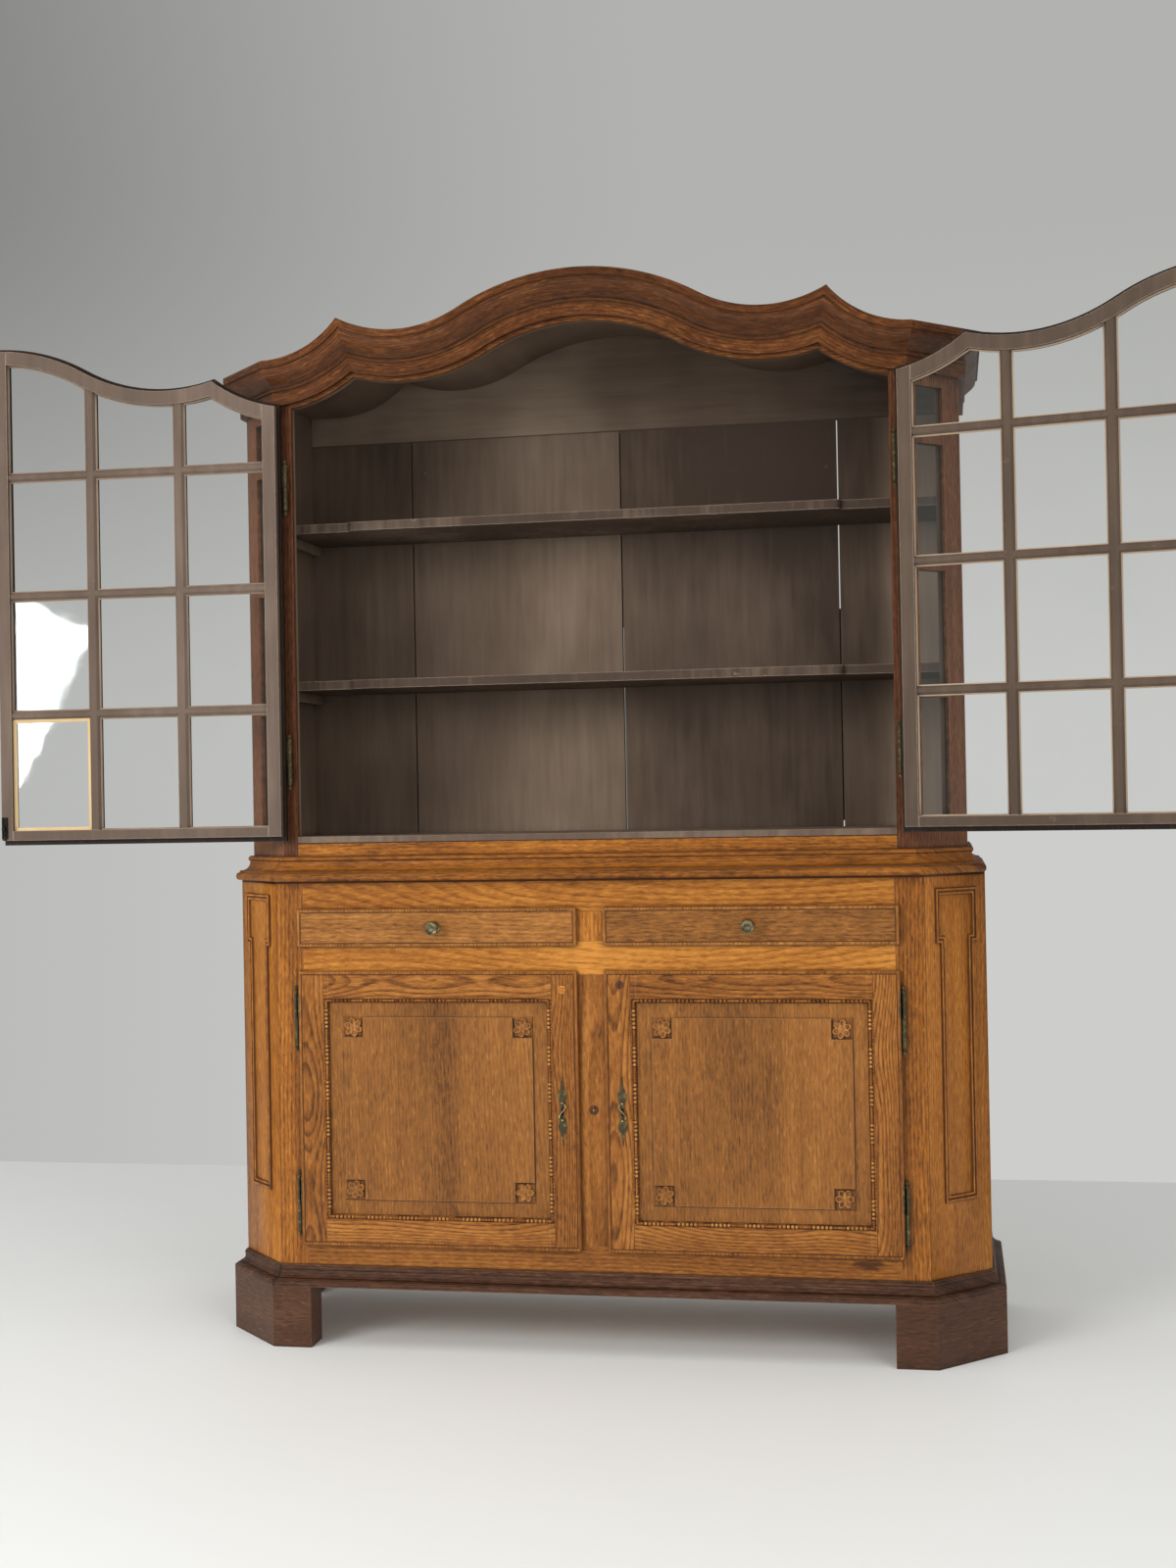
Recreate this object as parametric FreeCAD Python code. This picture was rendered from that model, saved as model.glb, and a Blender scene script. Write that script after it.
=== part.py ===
import FreeCAD
import Part
import math
import os

os.makedirs("parts", exist_ok=True)

# Sizes in millimetres. X runs to the right, Y to the back and Z up.
# They are measured from the front face of the cases, and the solids are saved
# about the point under the middle of the object with its glazed doors open.
depth = 476.0
origin_back = 160.0

# Lower case in plan: a straight front between two corners canted at 45 degrees
base_half = 652.0
base_cant = 116.0
base_board = 24.0
base_back_board = 14.0
base_stile = 57.0
mullion_half = 35.0

# Heights of the lower case, stacked from the floor
foot_height = 122.0
bottom_rail = 90.0
door_high = 537.0
mid_rail = 66.0
drawer_high = 59.0
top_rail = 66.0

# Upper case in plan, set in from the lower one
upper_inset = 20.0
cant_inset = 12.0
upper_board = 22.0
upper_back_board = 16.0
post_wide = 30.0
sill_high = 74.0

# Plinth, feet and waist
plinth_height = 40.0
plinth_out = 26.0
foot_front = 80.0
foot_side = 70.0
foot_thick = 66.0
back_foot = 90.0
top_board = 16.0
top_out = 35.0
top_nose = 7.0
waist_height = 34.0
waist_out = 28.0

# Boards inside the lower case
floor_board = 18.0
floor_drop = 6.0
base_shelf_rise = 282.0
base_shelf_front = 150.0
batten = 20.0
dust_board = 16.0
guide_height = 30.0

# Applied moulding on the lower canted corners
cant_trim_wide = 14.0
cant_trim_thick = 5.0
cant_trim_drop = 28.0
cant_trim_step_drop = 9.0
cant_trim_rise = 184.0
cant_trim_margin_top = 26.0
cant_trim_margin_low = 38.0

# Arch of the upper opening: a crown, a dip to each side, a cusp, and a ramp
ramp_rise = 870.0
ramp_past = 19.0
arch_over_ramp = 146.0
crown_radius = 388.0
crown_swing = 30.0
dip_radius = 350.0
ramp_radius = 300.0

# Cornice, measured square from the edge of the arch
band_start = 8.0
band_out = 12.0
ridge_start = 35.0
cornice_height = 95.0
cornice_out = 44.0
roof_start = 76.0
roof_board = 10.0

# Floor of the upper case
upper_floor_board = 18.0
upper_floor_drop = 3.0

# Display shelves and back
shelf_board = 19.0
shelf_front = 215.0
shelf_step = 14.0
shelf_end_left = 158.0
shelf_end_right = 216.0
upper_shelf_rise = 670.0
lower_shelf_rise = 331.0
bearer = 20.0
back_seam = 478.0
back_gap = 3.0
back_board_rise = 12.0

# Doors and drawers share one lip and one running clearance
lip = 12.0
seat_gap = 0.4
run_gap = 2.0
overlay = 8.0
slide_gap = 0.3

# Glazed doors
glazed_overlay = 4.0
glazed_sill_overlay = 8.0
glazed_top_gap = 3.0
glazed_inner = 14.0
meeting_gap = 3.0
hinge_stile = 29.0
free_stile = 25.0
glazed_bottom_rail = 30.0
glazed_top_rail = 28.0
upright_bar = 22.0
level_bar = 17.0
bar_front = 10.0
bar_back = 11.0
bar_bevel = 5.0
first_row_rise = 260.0
last_row_drop = 118.0
rows = 3
glass = 3.0
open_left = 178.0
open_right = 169.0

# Glazed canted corners
cant_inner_stile = 30.0
cant_outer_stile = 45.0
cant_rail_rise = 20.0
cant_rail_drop = 15.0
cant_glass_set = 9.0

# Panelled doors
panel_inner = 10.0
panel_stile = 63.0
panel_bevel = 8.0
panel_set = 8.0
panel_thick = 9.0
field_margin = 30.0
field_rise = 4.0
field_notch = 40.0

# Keyhole plates
plate_high = 137.0
plate_wide = 16.0
plate_thick = 2.5
plate_from_edge = 33.0
keyhole_wide = 4.0
keyhole_high = 14.0

# Drawers
drawer_side = 10.0
drawer_bottom = 8.0
drawer_top_gap = 3.0
drawer_back_gap = 22.0
knob_radius = 14.0
knob_foot = 12.0
knob_stem = 7.0
knob_length = 26.0
knob_sides = 16

# Barrel hinges
barrel = 5.0
pin = 2.4
pin_gap = 0.05
barrel_gap = 0.4
edge_gap = 1.0
finial = 4.2
finial_length = 11.0
flange = 2.0
door_flange = 4.0
case_flange = 5.5
web = 3.0
upper_hinge_high = 92.0
upper_hinge_out = 13.0
upper_hinge_drop = 160.0
upper_hinge_rise = 156.0
lower_hinge_high = 112.0
lower_hinge_out = 7.0
lower_hinge_drop = 87.0
lower_hinge_rise = 80.0
barrel_sides = 8

mitre = math.tan(math.radians(22.5))
slant = math.sqrt(0.5)

# Levels and half widths that follow from these sizes
base_opening = base_half - base_stile
door_opening_low = foot_height + bottom_rail
door_opening_high = door_opening_low + door_high
drawer_opening_low = door_opening_high + mid_rail
drawer_opening_high = drawer_opening_low + drawer_high
base_height = drawer_opening_high + top_rail
floor_top = door_opening_low - floor_drop
base_shelf_top = floor_top + base_shelf_rise
top_z = base_height + top_board
upper_half = base_half - upper_inset
upper_cant = base_cant - cant_inset
upper_opening = upper_half - post_wide
sill_top = top_z + sill_high
ramp_level = sill_top + ramp_rise
ramp_end = upper_half + ramp_past
arch_top = ramp_level + arch_over_ramp
case_top = ramp_level + roof_start
first_row = sill_top + first_row_rise
row_pitch = (ramp_level - last_row_drop - first_row) / (rows - 1)
bar_levels = [first_row + i * row_pitch for i in range(rows)]


def prism(points, low, high):
    corners = [FreeCAD.Vector(x, y, low) for x, y in points]
    face = Part.Face(Part.makePolygon(corners + corners[:1]))
    return face.extrude(FreeCAD.Vector(0, 0, high - low))


def box(x0, x1, y0, y1, z0, z1):
    return Part.makeBox(x1 - x0, y1 - y0, z1 - z0, FreeCAD.Vector(x0, y0, z0))


def mirror(shape):
    return shape.mirror(FreeCAD.Vector(0, 0, 0), FreeCAD.Vector(1, 0, 0))


def both(shape):
    return [shape, mirror(shape)]


def save(name, *shapes):
    solids = [solid for shape in shapes for solid in shape.Solids]
    shape = solids[0] if len(solids) == 1 else Part.makeCompound(solids)
    shape.translate(FreeCAD.Vector(0, -origin_back, 0))
    shape.exportStep("parts/" + name + ".step")


def save_pair(name, *shapes):
    save(name + "_right", *shapes)
    save(name + "_left", *[mirror(shape) for shape in shapes])


def outline(place, start, *steps):
    # A step is a point to draw a line to, or a point on an arc and its end.
    edges = []
    here = start
    for step in list(steps) + [start]:
        if isinstance(step[0], tuple):
            through, there = step
            curve = Part.Arc(place(*here), place(*through), place(*there))
            edges.append(curve.toShape())
        else:
            there = step
            if place(*here).distanceToPoint(place(*there)) > 1e-6:
                edges.append(Part.makeLine(place(*here), place(*there)))
        here = there
    return Part.Face(Part.Wire(edges))


def front(y):
    return lambda x, z: FreeCAD.Vector(x, y, z)


def ring(half, cant, out):
    # Right-hand plan corners of a case outline moved out by a given amount
    first = (half + mitre * out, -out)
    second = (half + cant + out, cant - mitre * out)
    return first, second, (half + cant + out, depth)


def full_ring(half, cant, out):
    # From the back left round the front to the back right
    right = list(ring(half, cant, out))
    left = [(-x, y) for x, y in reversed(right)]
    return left + right


def inside(half, cant, board, back):
    # Plan of a board that fills a case behind its front frame
    first, second, third = ring(half, cant, -board)
    right = [first, second, (second[0], depth - back)]
    left = [(-x, y) for x, y in reversed(right)]
    return right + left


def mitred(profile, plan, reach, level):
    # Lengths of moulding along a plan path, cut to meet on the bisectors.
    # The outside of the path lies to the right of its direction.
    normals = []
    for (x0, y0), (x1, y1) in zip(plan, plan[1:]):
        length = math.hypot(x1 - x0, y1 - y0)
        normals.append(((y1 - y0) / length, (x0 - x1) / length))
    ends = []
    for index in range(len(plan)):
        a = normals[max(index - 1, 0)]
        b = normals[min(index, len(normals) - 1)]
        scale = 1 + a[0] * b[0] + a[1] * b[1]
        ends.append(((a[0] + b[0]) / scale, (a[1] + b[1]) / scale))
    pieces = []
    for index, (nx, ny) in enumerate(normals):
        (x0, y0), (x1, y1) = plan[index], plan[index + 1]
        spare = 2 * reach
        run = FreeCAD.Vector(-ny, nx, 0)
        length = math.hypot(x1 - x0, y1 - y0) + 2 * spare
        start = FreeCAD.Vector(x0, y0, level) - run * spare

        def place(q, h):
            return start + FreeCAD.Vector(nx * q, ny * q, h)

        bar = profile(place).extrude(run * length)
        (ax, ay), (bx, by) = ends[index], ends[index + 1]
        far = reach + 5
        near = 5
        cell = [(x0 - ax * near, y0 - ay * near), (x1 - bx * near, y1 - by * near),
                (x1 + bx * far, y1 + by * far), (x0 + ax * far, y0 + ay * far)]
        high = bar.BoundBox.ZMax + 5
        pieces.append(bar.common(prism(cell, level - 5, high)))
    return pieces


def polar(centre, radius, angle):
    return (centre[0] + radius * math.sin(angle), centre[1] + radius * math.cos(angle))


swing = math.radians(crown_swing)
crown_centre = (0.0, arch_top - crown_radius)
dip_centre = polar(crown_centre, crown_radius + dip_radius, swing)
ramp_centre = (ramp_end, ramp_level + ramp_radius)


def cusp(h):
    # Lower meeting point of the dip and the ramp, both moved up by h
    (x0, z0), (x1, z1) = dip_centre, ramp_centre
    r0, r1 = dip_radius - h, ramp_radius - h
    gap = math.hypot(x1 - x0, z1 - z0)
    along = (r0 * r0 - r1 * r1 + gap * gap) / (2 * gap)
    across = math.sqrt(r0 * r0 - along * along)
    ux, uz = (x1 - x0) / gap, (z1 - z0) / gap
    return (x0 + ux * along + uz * across, z0 + uz * along - ux * across)


def on_crown(x, h):
    return (x, crown_centre[1] + math.sqrt((crown_radius + h) ** 2 - x * x))


def on_ramp(x, h):
    drop = math.sqrt((ramp_radius - h) ** 2 - (ramp_centre[0] - x) ** 2)
    return (x, ramp_centre[1] - drop)


def bend(h):
    return polar(crown_centre, crown_radius + h, swing)


def middle(centre, a, b):
    x, z = (a[0] + b[0]) / 2 - centre[0], (a[1] + b[1]) / 2 - centre[1]
    radius = math.hypot(a[0] - centre[0], a[1] - centre[1])
    scale = radius / math.hypot(x, z)
    return (centre[0] + x * scale, centre[1] + z * scale)


def half_arch(x0, x1, h):
    # Start point and arcs from the crown at x0 to the ramp at x1
    a, b, c, d = on_crown(x0, h), bend(h), cusp(h), on_ramp(x1, h)
    return a, [(middle(crown_centre, a, b), b),
               (middle(dip_centre, b, c), c),
               (middle(ramp_centre, c, d), d)]


def flip(point):
    return (-point[0], point[1])


def full_arch(x1, h):
    # Start point and arcs from the left end to the right end
    a, b, c = on_ramp(x1, h), cusp(h), bend(h)
    steps = [(flip(middle(ramp_centre, a, b)), flip(b)),
             (flip(middle(dip_centre, b, c)), flip(c)),
             (on_crown(0.0, h), c),
             (middle(dip_centre, c, b), b),
             (middle(ramp_centre, b, a), a)]
    return flip(a), steps


def arched_slab(x0, x1, low, h, y0, y1):
    start, steps = half_arch(x0, x1, h)
    face = outline(front(y0), (x0, low), start, *steps, (x1, low))
    return face.extrude(FreeCAD.Vector(0, y1 - y0, 0))


def plinth_profile(place):
    return outline(place, (0, 0), (plinth_out, 0), (plinth_out, 9), (plinth_out - 3, 12),
                   ((9, 19), (6, plinth_height - 8)), (7, plinth_height - 6),
                   (4, plinth_height), (0, plinth_height))


def waist_profile(place):
    top = waist_height
    return outline(place, (0, 0), (waist_out, 0), (waist_out, 3), (waist_out - 2, 4),
                   ((12, 10), (8, top - 11)), (11, top - 8), (11, top - 4), (7, top), (0, top))


def cornice_profile(place):
    # Flat band, small ridge, splay, round and lip
    top = cornice_height
    out = cornice_out
    face = band_out
    ridge = ridge_start
    return outline(place, (0, band_start), (face, band_start), (face, ridge), (face + 4, ridge + 1),
                   (face + 4, ridge + 6), (face, ridge + 8), (face + 8, top - 40),
                   ((out - 12, top - 29), (out - 5, top - 16)), (out, top - 15), (out, top), (0, top))


# Lower case
outer = ring(base_half, base_cant, 0)
inner = ring(base_half, base_cant, -base_board)
save_pair("base_stile", prism([(base_opening, 0), outer[0], inner[0], (base_opening, base_board)],
                              foot_height, base_height))
save_pair("base_cant", prism([outer[0], outer[1], inner[1], inner[0]], foot_height, base_height))
save_pair("base_side", prism([outer[1], outer[2], inner[2], inner[1]], foot_height, base_height))
save("base_bottom_rail", box(-base_opening, base_opening, 0, base_board, foot_height, door_opening_low))
save("base_mid_rail", box(-base_opening, base_opening, 0, base_board, door_opening_high, drawer_opening_low))
save("base_top_rail", box(-base_opening, base_opening, 0, base_board, drawer_opening_high, base_height))
save("door_mullion", box(-mullion_half, mullion_half, 0, base_board, door_opening_low, door_opening_high))
save("drawer_divider", box(-mullion_half, mullion_half, 0, base_board, drawer_opening_low, drawer_opening_high))

base_plan = inside(base_half, base_cant, base_board, base_back_board)
save("base_floor", prism(base_plan, floor_top - floor_board, floor_top))
base_inner = base_half + base_cant - base_board
base_back_y = depth - base_back_board
plank = 2 * base_inner / 3
planks = [box(-base_inner + i * plank, -base_inner + (i + 1) * plank, base_back_y, depth,
              foot_height, base_height) for i in range(3)]
save("base_back", *planks)

shelf = box(-base_inner, base_inner, base_shelf_front, base_back_y,
            base_shelf_top - floor_board, base_shelf_top)
shelf_batten = box(base_inner - batten, base_inner, base_shelf_front, base_back_y,
                   base_shelf_top - floor_board - batten, base_shelf_top - floor_board)
save("base_shelf", shelf, *both(shelf_batten))

guide_top = drawer_opening_low + guide_height
side_guide = box(base_opening, base_opening + base_board, base_board, base_back_y,
                 drawer_opening_low, guide_top)
centre_guide = box(-mullion_half, mullion_half, base_board, base_back_y, drawer_opening_low, guide_top)
save("dust_board", prism(base_plan, drawer_opening_low - dust_board, drawer_opening_low),
     centre_guide, *both(side_guide))

plinth_path = full_ring(base_half, base_cant, 0)
save("plinth_moulding", *mitred(plinth_profile, plinth_path, plinth_out, foot_height))

toe = ring(base_half, base_cant, plinth_out)
foot_end = toe[1][1] + foot_side
front_foot = prism([(toe[0][0] - foot_front, toe[0][1]), toe[0], toe[1], (toe[1][0], foot_end),
                    (toe[1][0] - foot_thick, foot_end),
                    (toe[0][0] - foot_front, toe[0][1] + foot_thick)], 0, foot_height)
back_foot_block = box(toe[1][0] - back_foot, toe[1][0], depth - back_foot, depth, 0, foot_height)
save("feet", *both(front_foot), *both(back_foot_block))

# Applied moulding that steps in below the level of the drawers
face_start = FreeCAD.Vector(outer[0][0], 0, 0)
face_run = FreeCAD.Vector(slant, slant, 0)
face_out = FreeCAD.Vector(slant, -slant, 0)
face_length = base_cant / slant


def on_cant(u, z):
    return face_start + face_run * u + FreeCAD.Vector(0, 0, z)


def stepped(inset):
    wide = cant_trim_margin_top + inset
    slim = cant_trim_margin_low + inset
    high = base_height - cant_trim_drop - inset
    step = drawer_opening_low - cant_trim_step_drop + inset
    low = foot_height + cant_trim_rise + inset
    return outline(on_cant, (wide, high), (face_length - wide, high), (face_length - wide, step),
                   (face_length - slim, step), (face_length - slim, low), (slim, low), (slim, step),
                   (wide, step))


cant_trim = stepped(0).cut(stepped(cant_trim_wide)).extrude(face_out * cant_trim_thick)
save("cant_mouldings", *both(cant_trim))

# Top board of the lower case and the moulding that the upper case stands in
base_top = prism(full_ring(upper_half, upper_cant, top_out), base_height, top_z)
nose = []
for edge in base_top.Edges:
    centre = edge.CenterOfMass
    level = abs(edge.BoundBox.ZLength) < 1e-6
    if level and centre.y < depth - 1:
        nose.append(edge)
save("base_top", base_top.makeFillet(top_nose, nose))
upper_path = full_ring(upper_half, upper_cant, 0)
save("waist_moulding", *mitred(waist_profile, upper_path, waist_out, top_z))

# Upper case
rim = ring(upper_half, upper_cant, 0)
lining = ring(upper_half, upper_cant, -upper_board)
save_pair("post", prism([(upper_opening, 0), rim[0], lining[0], (upper_opening, upper_board)], top_z, case_top))
save_pair("upper_side", prism([rim[1], rim[2], lining[2], lining[1]], top_z, case_top))
save("sill_rail", box(-upper_opening, upper_opening, 0, upper_board, top_z, sill_top))
upper_plan = inside(upper_half, upper_cant, upper_board, upper_back_board)
upper_floor_top = sill_top - upper_floor_drop
save("upper_floor", prism(upper_plan, upper_floor_top - upper_floor_board, upper_floor_top))

upper_inner = upper_half + upper_cant - upper_board
upper_back_y = depth - upper_back_board
seams = [-upper_inner, -back_seam, 0.0, back_seam, upper_inner]
back_board_top = ramp_level + back_board_rise
planks = []
for x0, x1 in zip(seams, seams[1:]):
    left = x0 if x0 == -upper_inner else x0 + back_gap / 2
    right = x1 if x1 == upper_inner else x1 - back_gap / 2
    planks.append(box(left, right, upper_back_y, depth, top_z, back_board_top))
start, steps = full_arch(ramp_end, roof_start)
back_head = outline(front(upper_back_y), (-upper_inner, back_board_top), (-upper_inner, case_top), start,
                    *steps, (upper_inner, case_top), (upper_inner, back_board_top))
planks.append(back_head.extrude(FreeCAD.Vector(0, upper_back_board, 0)))
save("upper_back", *planks)

# Glazed canted corners: stiles, rails, bars and four panes each
corner = FreeCAD.Vector(rim[0][0], rim[0][1], 0)
cant_length = upper_cant / slant


def in_cant(u, w):
    return (corner.x + slant * (u - w), corner.y + slant * (u + w))


u0 = cant_inner_stile
u1 = cant_length - cant_outer_stile


def cant_strip(w0, w1, low, high):
    return prism([in_cant(u0, w0), in_cant(u1, w0), in_cant(u1, w1), in_cant(u0, w1)], low, high)


cant_bars = [(level - level_bar / 2, level + level_bar / 2) for level in bar_levels]
solid_levels = [(top_z, sill_top + cant_rail_rise)] + cant_bars + [(ramp_level - cant_rail_drop, case_top)]
cant_pieces = [prism([rim[0], in_cant(u0, 0), in_cant(u0, upper_board), lining[0]], top_z, case_top),
               prism([in_cant(u1, 0), rim[1], lining[1], in_cant(u1, upper_board)], top_z, case_top)]
cant_pieces += [cant_strip(0, upper_board, low, high) for low, high in solid_levels]
save_pair("cant_frame", *cant_pieces)
panes = []
for (_, low), (high, _) in zip(solid_levels, solid_levels[1:]):
    panes += both(cant_strip(cant_glass_set, cant_glass_set + glass, low, high))
save("cant_glass", *panes)

# Shelves with a projecting middle, on bearers at the side walls
shelf_end = shelf_front + shelf_step


def display_shelf(top):
    a, b = shelf_end_left - upper_inner, upper_inner - shelf_end_right
    turn = shelf_step * (1 - slant)
    face = outline(lambda x, y: FreeCAD.Vector(x, y, top - shelf_board),
                   (-upper_inner, shelf_end), (a, shelf_end),
                   ((a + turn, shelf_front + turn), (a + shelf_step, shelf_front)),
                   (b - shelf_step, shelf_front), ((b - turn, shelf_front + turn), (b, shelf_end)),
                   (upper_inner, shelf_end), (upper_inner, upper_back_y), (-upper_inner, upper_back_y))
    return face.extrude(FreeCAD.Vector(0, 0, shelf_board))


shelf_tops = {"upper": sill_top + upper_shelf_rise, "lower": sill_top + lower_shelf_rise}
bearers = []
for name, top in shelf_tops.items():
    save("display_shelf_" + name, display_shelf(top))
    bearers += both(box(upper_inner - bearer, upper_inner, shelf_end, upper_back_y,
                        top - shelf_board - bearer, top - shelf_board))
save("shelf_bearers", *bearers)

# Arched rail over the opening
start, steps = full_arch(upper_opening, 0.0)
roof_left, roof_steps = full_arch(upper_opening, roof_start)
back_steps = []
points = [roof_left] + [end for _, end in roof_steps]
for (through, _), end in zip(reversed(roof_steps), reversed(points[:-1])):
    back_steps.append((through, end))
rail = outline(front(0), start, *steps, points[-1], *back_steps)
save("arched_rail", rail.extrude(FreeCAD.Vector(0, upper_board, 0)))


# Curved lengths of cornice and roof are turned about axes square to the front
def turned(face_at, centre, radius, first, last, above):
    side = -1 if above else 1
    direction = (math.sin(first), math.cos(first))
    base = (centre[0] + side * radius * direction[0], centre[1] + side * radius * direction[1])

    def place(q, h):
        return FreeCAD.Vector(base[0] + direction[0] * h, -q, base[1] + direction[1] * h)

    axis = FreeCAD.Vector(centre[0], 0, centre[1])
    return face_at(place).revolve(axis, FreeCAD.Vector(0, 1, 0), math.degrees(last - first))


def strip(low, high, y0, y1):
    return lambda place: outline(place, (-y0, low), (-y1, low), (-y1, high), (-y0, high))


def arch_lengths(face_at, top, reach):
    # Crown, and the dip and the ramp of each side cut to meet in the cusp
    low, high = cusp(0.0), cusp(top)
    over = math.radians(6)
    dip_last = -math.asin((high[0] - dip_centre[0]) / (dip_radius - top)) - over
    ramp_first = math.asin((ramp_end - low[0]) / ramp_radius) + over + math.radians(14)
    dip = turned(face_at, dip_centre, dip_radius, swing, dip_last, True)
    ramp = turned(face_at, ramp_centre, ramp_radius, ramp_first, 0.0, True)
    lean = (high[0] - low[0]) / (high[1] - low[1])
    far = 400.0

    def wedge(side):
        a = (low[0] - lean * far, low[1] - far)
        b = (low[0] + lean * far, low[1] + far)
        face = outline(front(-reach), a, b, (b[0] + side * far, b[1]), (a[0] + side * far, a[1]))
        return face.extrude(FreeCAD.Vector(0, reach + depth + 10, 0))

    crown = turned(face_at, crown_centre, crown_radius, -swing, swing, False)
    return crown, dip.common(wedge(-1)), ramp.common(wedge(1))


crown, dip, ramp = arch_lengths(cornice_profile, cornice_height, cornice_out + 10)
# The ramp meets the canted return on the mitre of the case corner
reach = cornice_out + 10
mitre_cell = prism([(0, 10), (rim[0][0] - mitre * 10, 10), (rim[0][0] + mitre * reach, -reach), (0, -reach)],
                   ramp_level - cornice_height, arch_top + 2 * cornice_height)
ramp = ramp.common(mitre_cell)
save("cornice_front", crown, *both(dip), *both(ramp))
returns = mitred(cornice_profile, upper_path, cornice_out, ramp_level)
save("cornice_returns", *[piece for index, piece in enumerate(returns) if index != 2])

crown, dip, ramp = arch_lengths(strip(roof_start, roof_start + roof_board, 0, depth), cornice_height, 10)
eave = box(ramp_end, upper_half + upper_cant, 0, depth, case_top, case_top + roof_board)
roof_cell = prism(full_ring(upper_half, upper_cant, 0), case_top - 20, arch_top + 2 * cornice_height)
save("roof", crown, *both(dip), *[piece.common(roof_cell) for piece in both(ramp) + both(eave)])


# Small turned pieces have flats, to keep the many repeats light.
# A tier is a distance along the axis and a radius.
def many_sided(tiers, sides, place):
    turns = [2 * math.pi * i / sides for i in range(sides)]
    rings = [[place(radius * math.cos(t), radius * math.sin(t), along) for t in turns] for along, radius in tiers]
    faces = [Part.Face(Part.makePolygon(ends + ends[:1])) for ends in (rings[0], rings[-1])]
    for near, far in zip(rings, rings[1:]):
        for i in range(sides):
            j = (i + 1) % sides
            faces.append(Part.Face(Part.makePolygon([near[i], near[j], far[j], far[i], near[i]])))
    solid = Part.Solid(Part.Shell(faces))
    if solid.Volume < 0:
        solid.reverse()
    return solid


# Lift-off barrel hinges: the lower half and the pin stay on the case
def barrel_half(end, stop):
    sign = 1 if end > stop else -1
    tip = finial_length
    tiers = [(stop, barrel), (end, barrel), (end + sign * 2, barrel * 0.55), (end + sign * tip / 2, finial),
             (end + sign * (tip - 3), finial * 0.8), (end + sign * tip, 1)]
    return many_sided(tiers, barrel_sides, FreeCAD.Vector)


def post_cylinder(radius, low, high):
    return Part.makeCylinder(radius, high - low, FreeCAD.Vector(0, 0, low))


def fixed_half(high, out):
    half = high / 2
    lower = barrel_half(-half, -barrel_gap / 2)
    shaft = post_cylinder(pin, -half, half - 8)
    plate_low, plate_high_z = -half + 4, -4
    blade = box(-web / 2, web / 2, 0, out, plate_low, plate_high_z)
    foot = box(-web / 2, case_flange - web / 2, out - flange, out, plate_low, plate_high_z)
    return lower.fuse([shaft, blade, foot]).removeSplitter()


def moving_half(high, edge, front_y):
    # edge and front_y are the door's edge and front face, seen from the axis
    half = high / 2
    upper = barrel_half(half, barrel_gap / 2)
    low, top = 4, half - 4
    plate = box(edge - door_flange, -barrel / 2, front_y - flange, front_y, low, top)
    link = box(edge + seat_gap, -barrel / 2, min(front_y - flange, -web / 2), web / 2, low, top)
    body = upper.fuse([plate, link])
    return body.cut(post_cylinder(pin + pin_gap, 0, half - 7)).removeSplitter()


def at_levels(shape, x, y, *levels):
    placed = []
    for level in levels:
        copy = shape.copy()
        copy.translate(FreeCAD.Vector(x, y, level))
        placed.append(copy)
    return placed


glazed_edge = upper_opening + glazed_overlay
upper_axis = (glazed_edge + edge_gap + barrel, -upper_hinge_out)
upper_pin = fixed_half(upper_hinge_high, upper_hinge_out)
upper_leaf = moving_half(upper_hinge_high, glazed_edge - upper_axis[0], -seat_gap - lip - upper_axis[1])
upper_levels = (ramp_level - upper_hinge_drop, sill_top + upper_hinge_rise)
upper_pins = at_levels(upper_pin, *upper_axis, *upper_levels)
save("hinge_pins_upper", *upper_pins, *[mirror(shape) for shape in upper_pins])
upper_leaves = at_levels(upper_leaf, *upper_axis, *upper_levels)

panel_edge = base_opening + overlay
lower_axis = (panel_edge + edge_gap + barrel, -lower_hinge_out)
lower_pin = fixed_half(lower_hinge_high, lower_hinge_out)
lower_leaf = moving_half(lower_hinge_high, panel_edge - lower_axis[0], -seat_gap - lip - lower_axis[1])
lower_levels = (door_opening_high - lower_hinge_drop, door_opening_low + lower_hinge_rise)
lower_pins = at_levels(lower_pin, *lower_axis, *lower_levels)
save("hinge_pins_lower", *lower_pins, *[mirror(shape) for shape in lower_pins])
save_pair("panel_hinges", *at_levels(lower_leaf, *lower_axis, *lower_levels))

# A door frame is cut into two full-height stiles with the rails between them
def stiles_and_rails(frame, x0, x1):
    bounds = frame.BoundBox
    cuts = [bounds.XMin - 1, x0, x1, bounds.XMax + 1]
    pieces = []
    for left, right in zip(cuts, cuts[1:]):
        cell = box(left, right, bounds.YMin - 1, bounds.YMax + 1, bounds.ZMin - 1, bounds.ZMax + 1)
        pieces += frame.common(cell).Solids
    return pieces


# Glazed doors, built shut on the right and then swung open
meet = meeting_gap / 2
lip_front = -seat_gap - lip
door_low = sill_top - glazed_sill_overlay
lip_slab = arched_slab(meet, glazed_edge, door_low, band_start - glazed_top_gap, lip_front, -seat_gap)
inner_slab = arched_slab(meet, upper_opening - run_gap, sill_top + run_gap, -run_gap, -seat_gap, glazed_inner)
pane_free = meet + free_stile
pane_hinge = upper_opening - hinge_stile
pane_low = door_low + glazed_bottom_rail
pane_top = -run_gap - glazed_top_rail
light = arched_slab(pane_free, pane_hinge, pane_low, pane_top, lip_front - 1, glazed_inner + 1)
frame = lip_slab.fuse(inner_slab).cut(light).removeSplitter()

column = (pane_hinge - pane_free - 2 * upright_bar) / 3


def bar_section(place, width):
    half = width / 2
    return outline(place, (-half, -bar_front), (half, -bar_front), (half, bar_back - bar_bevel),
                   (half - bar_bevel, bar_back), (bar_bevel - half, bar_back), (-half, bar_back - bar_bevel))


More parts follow.
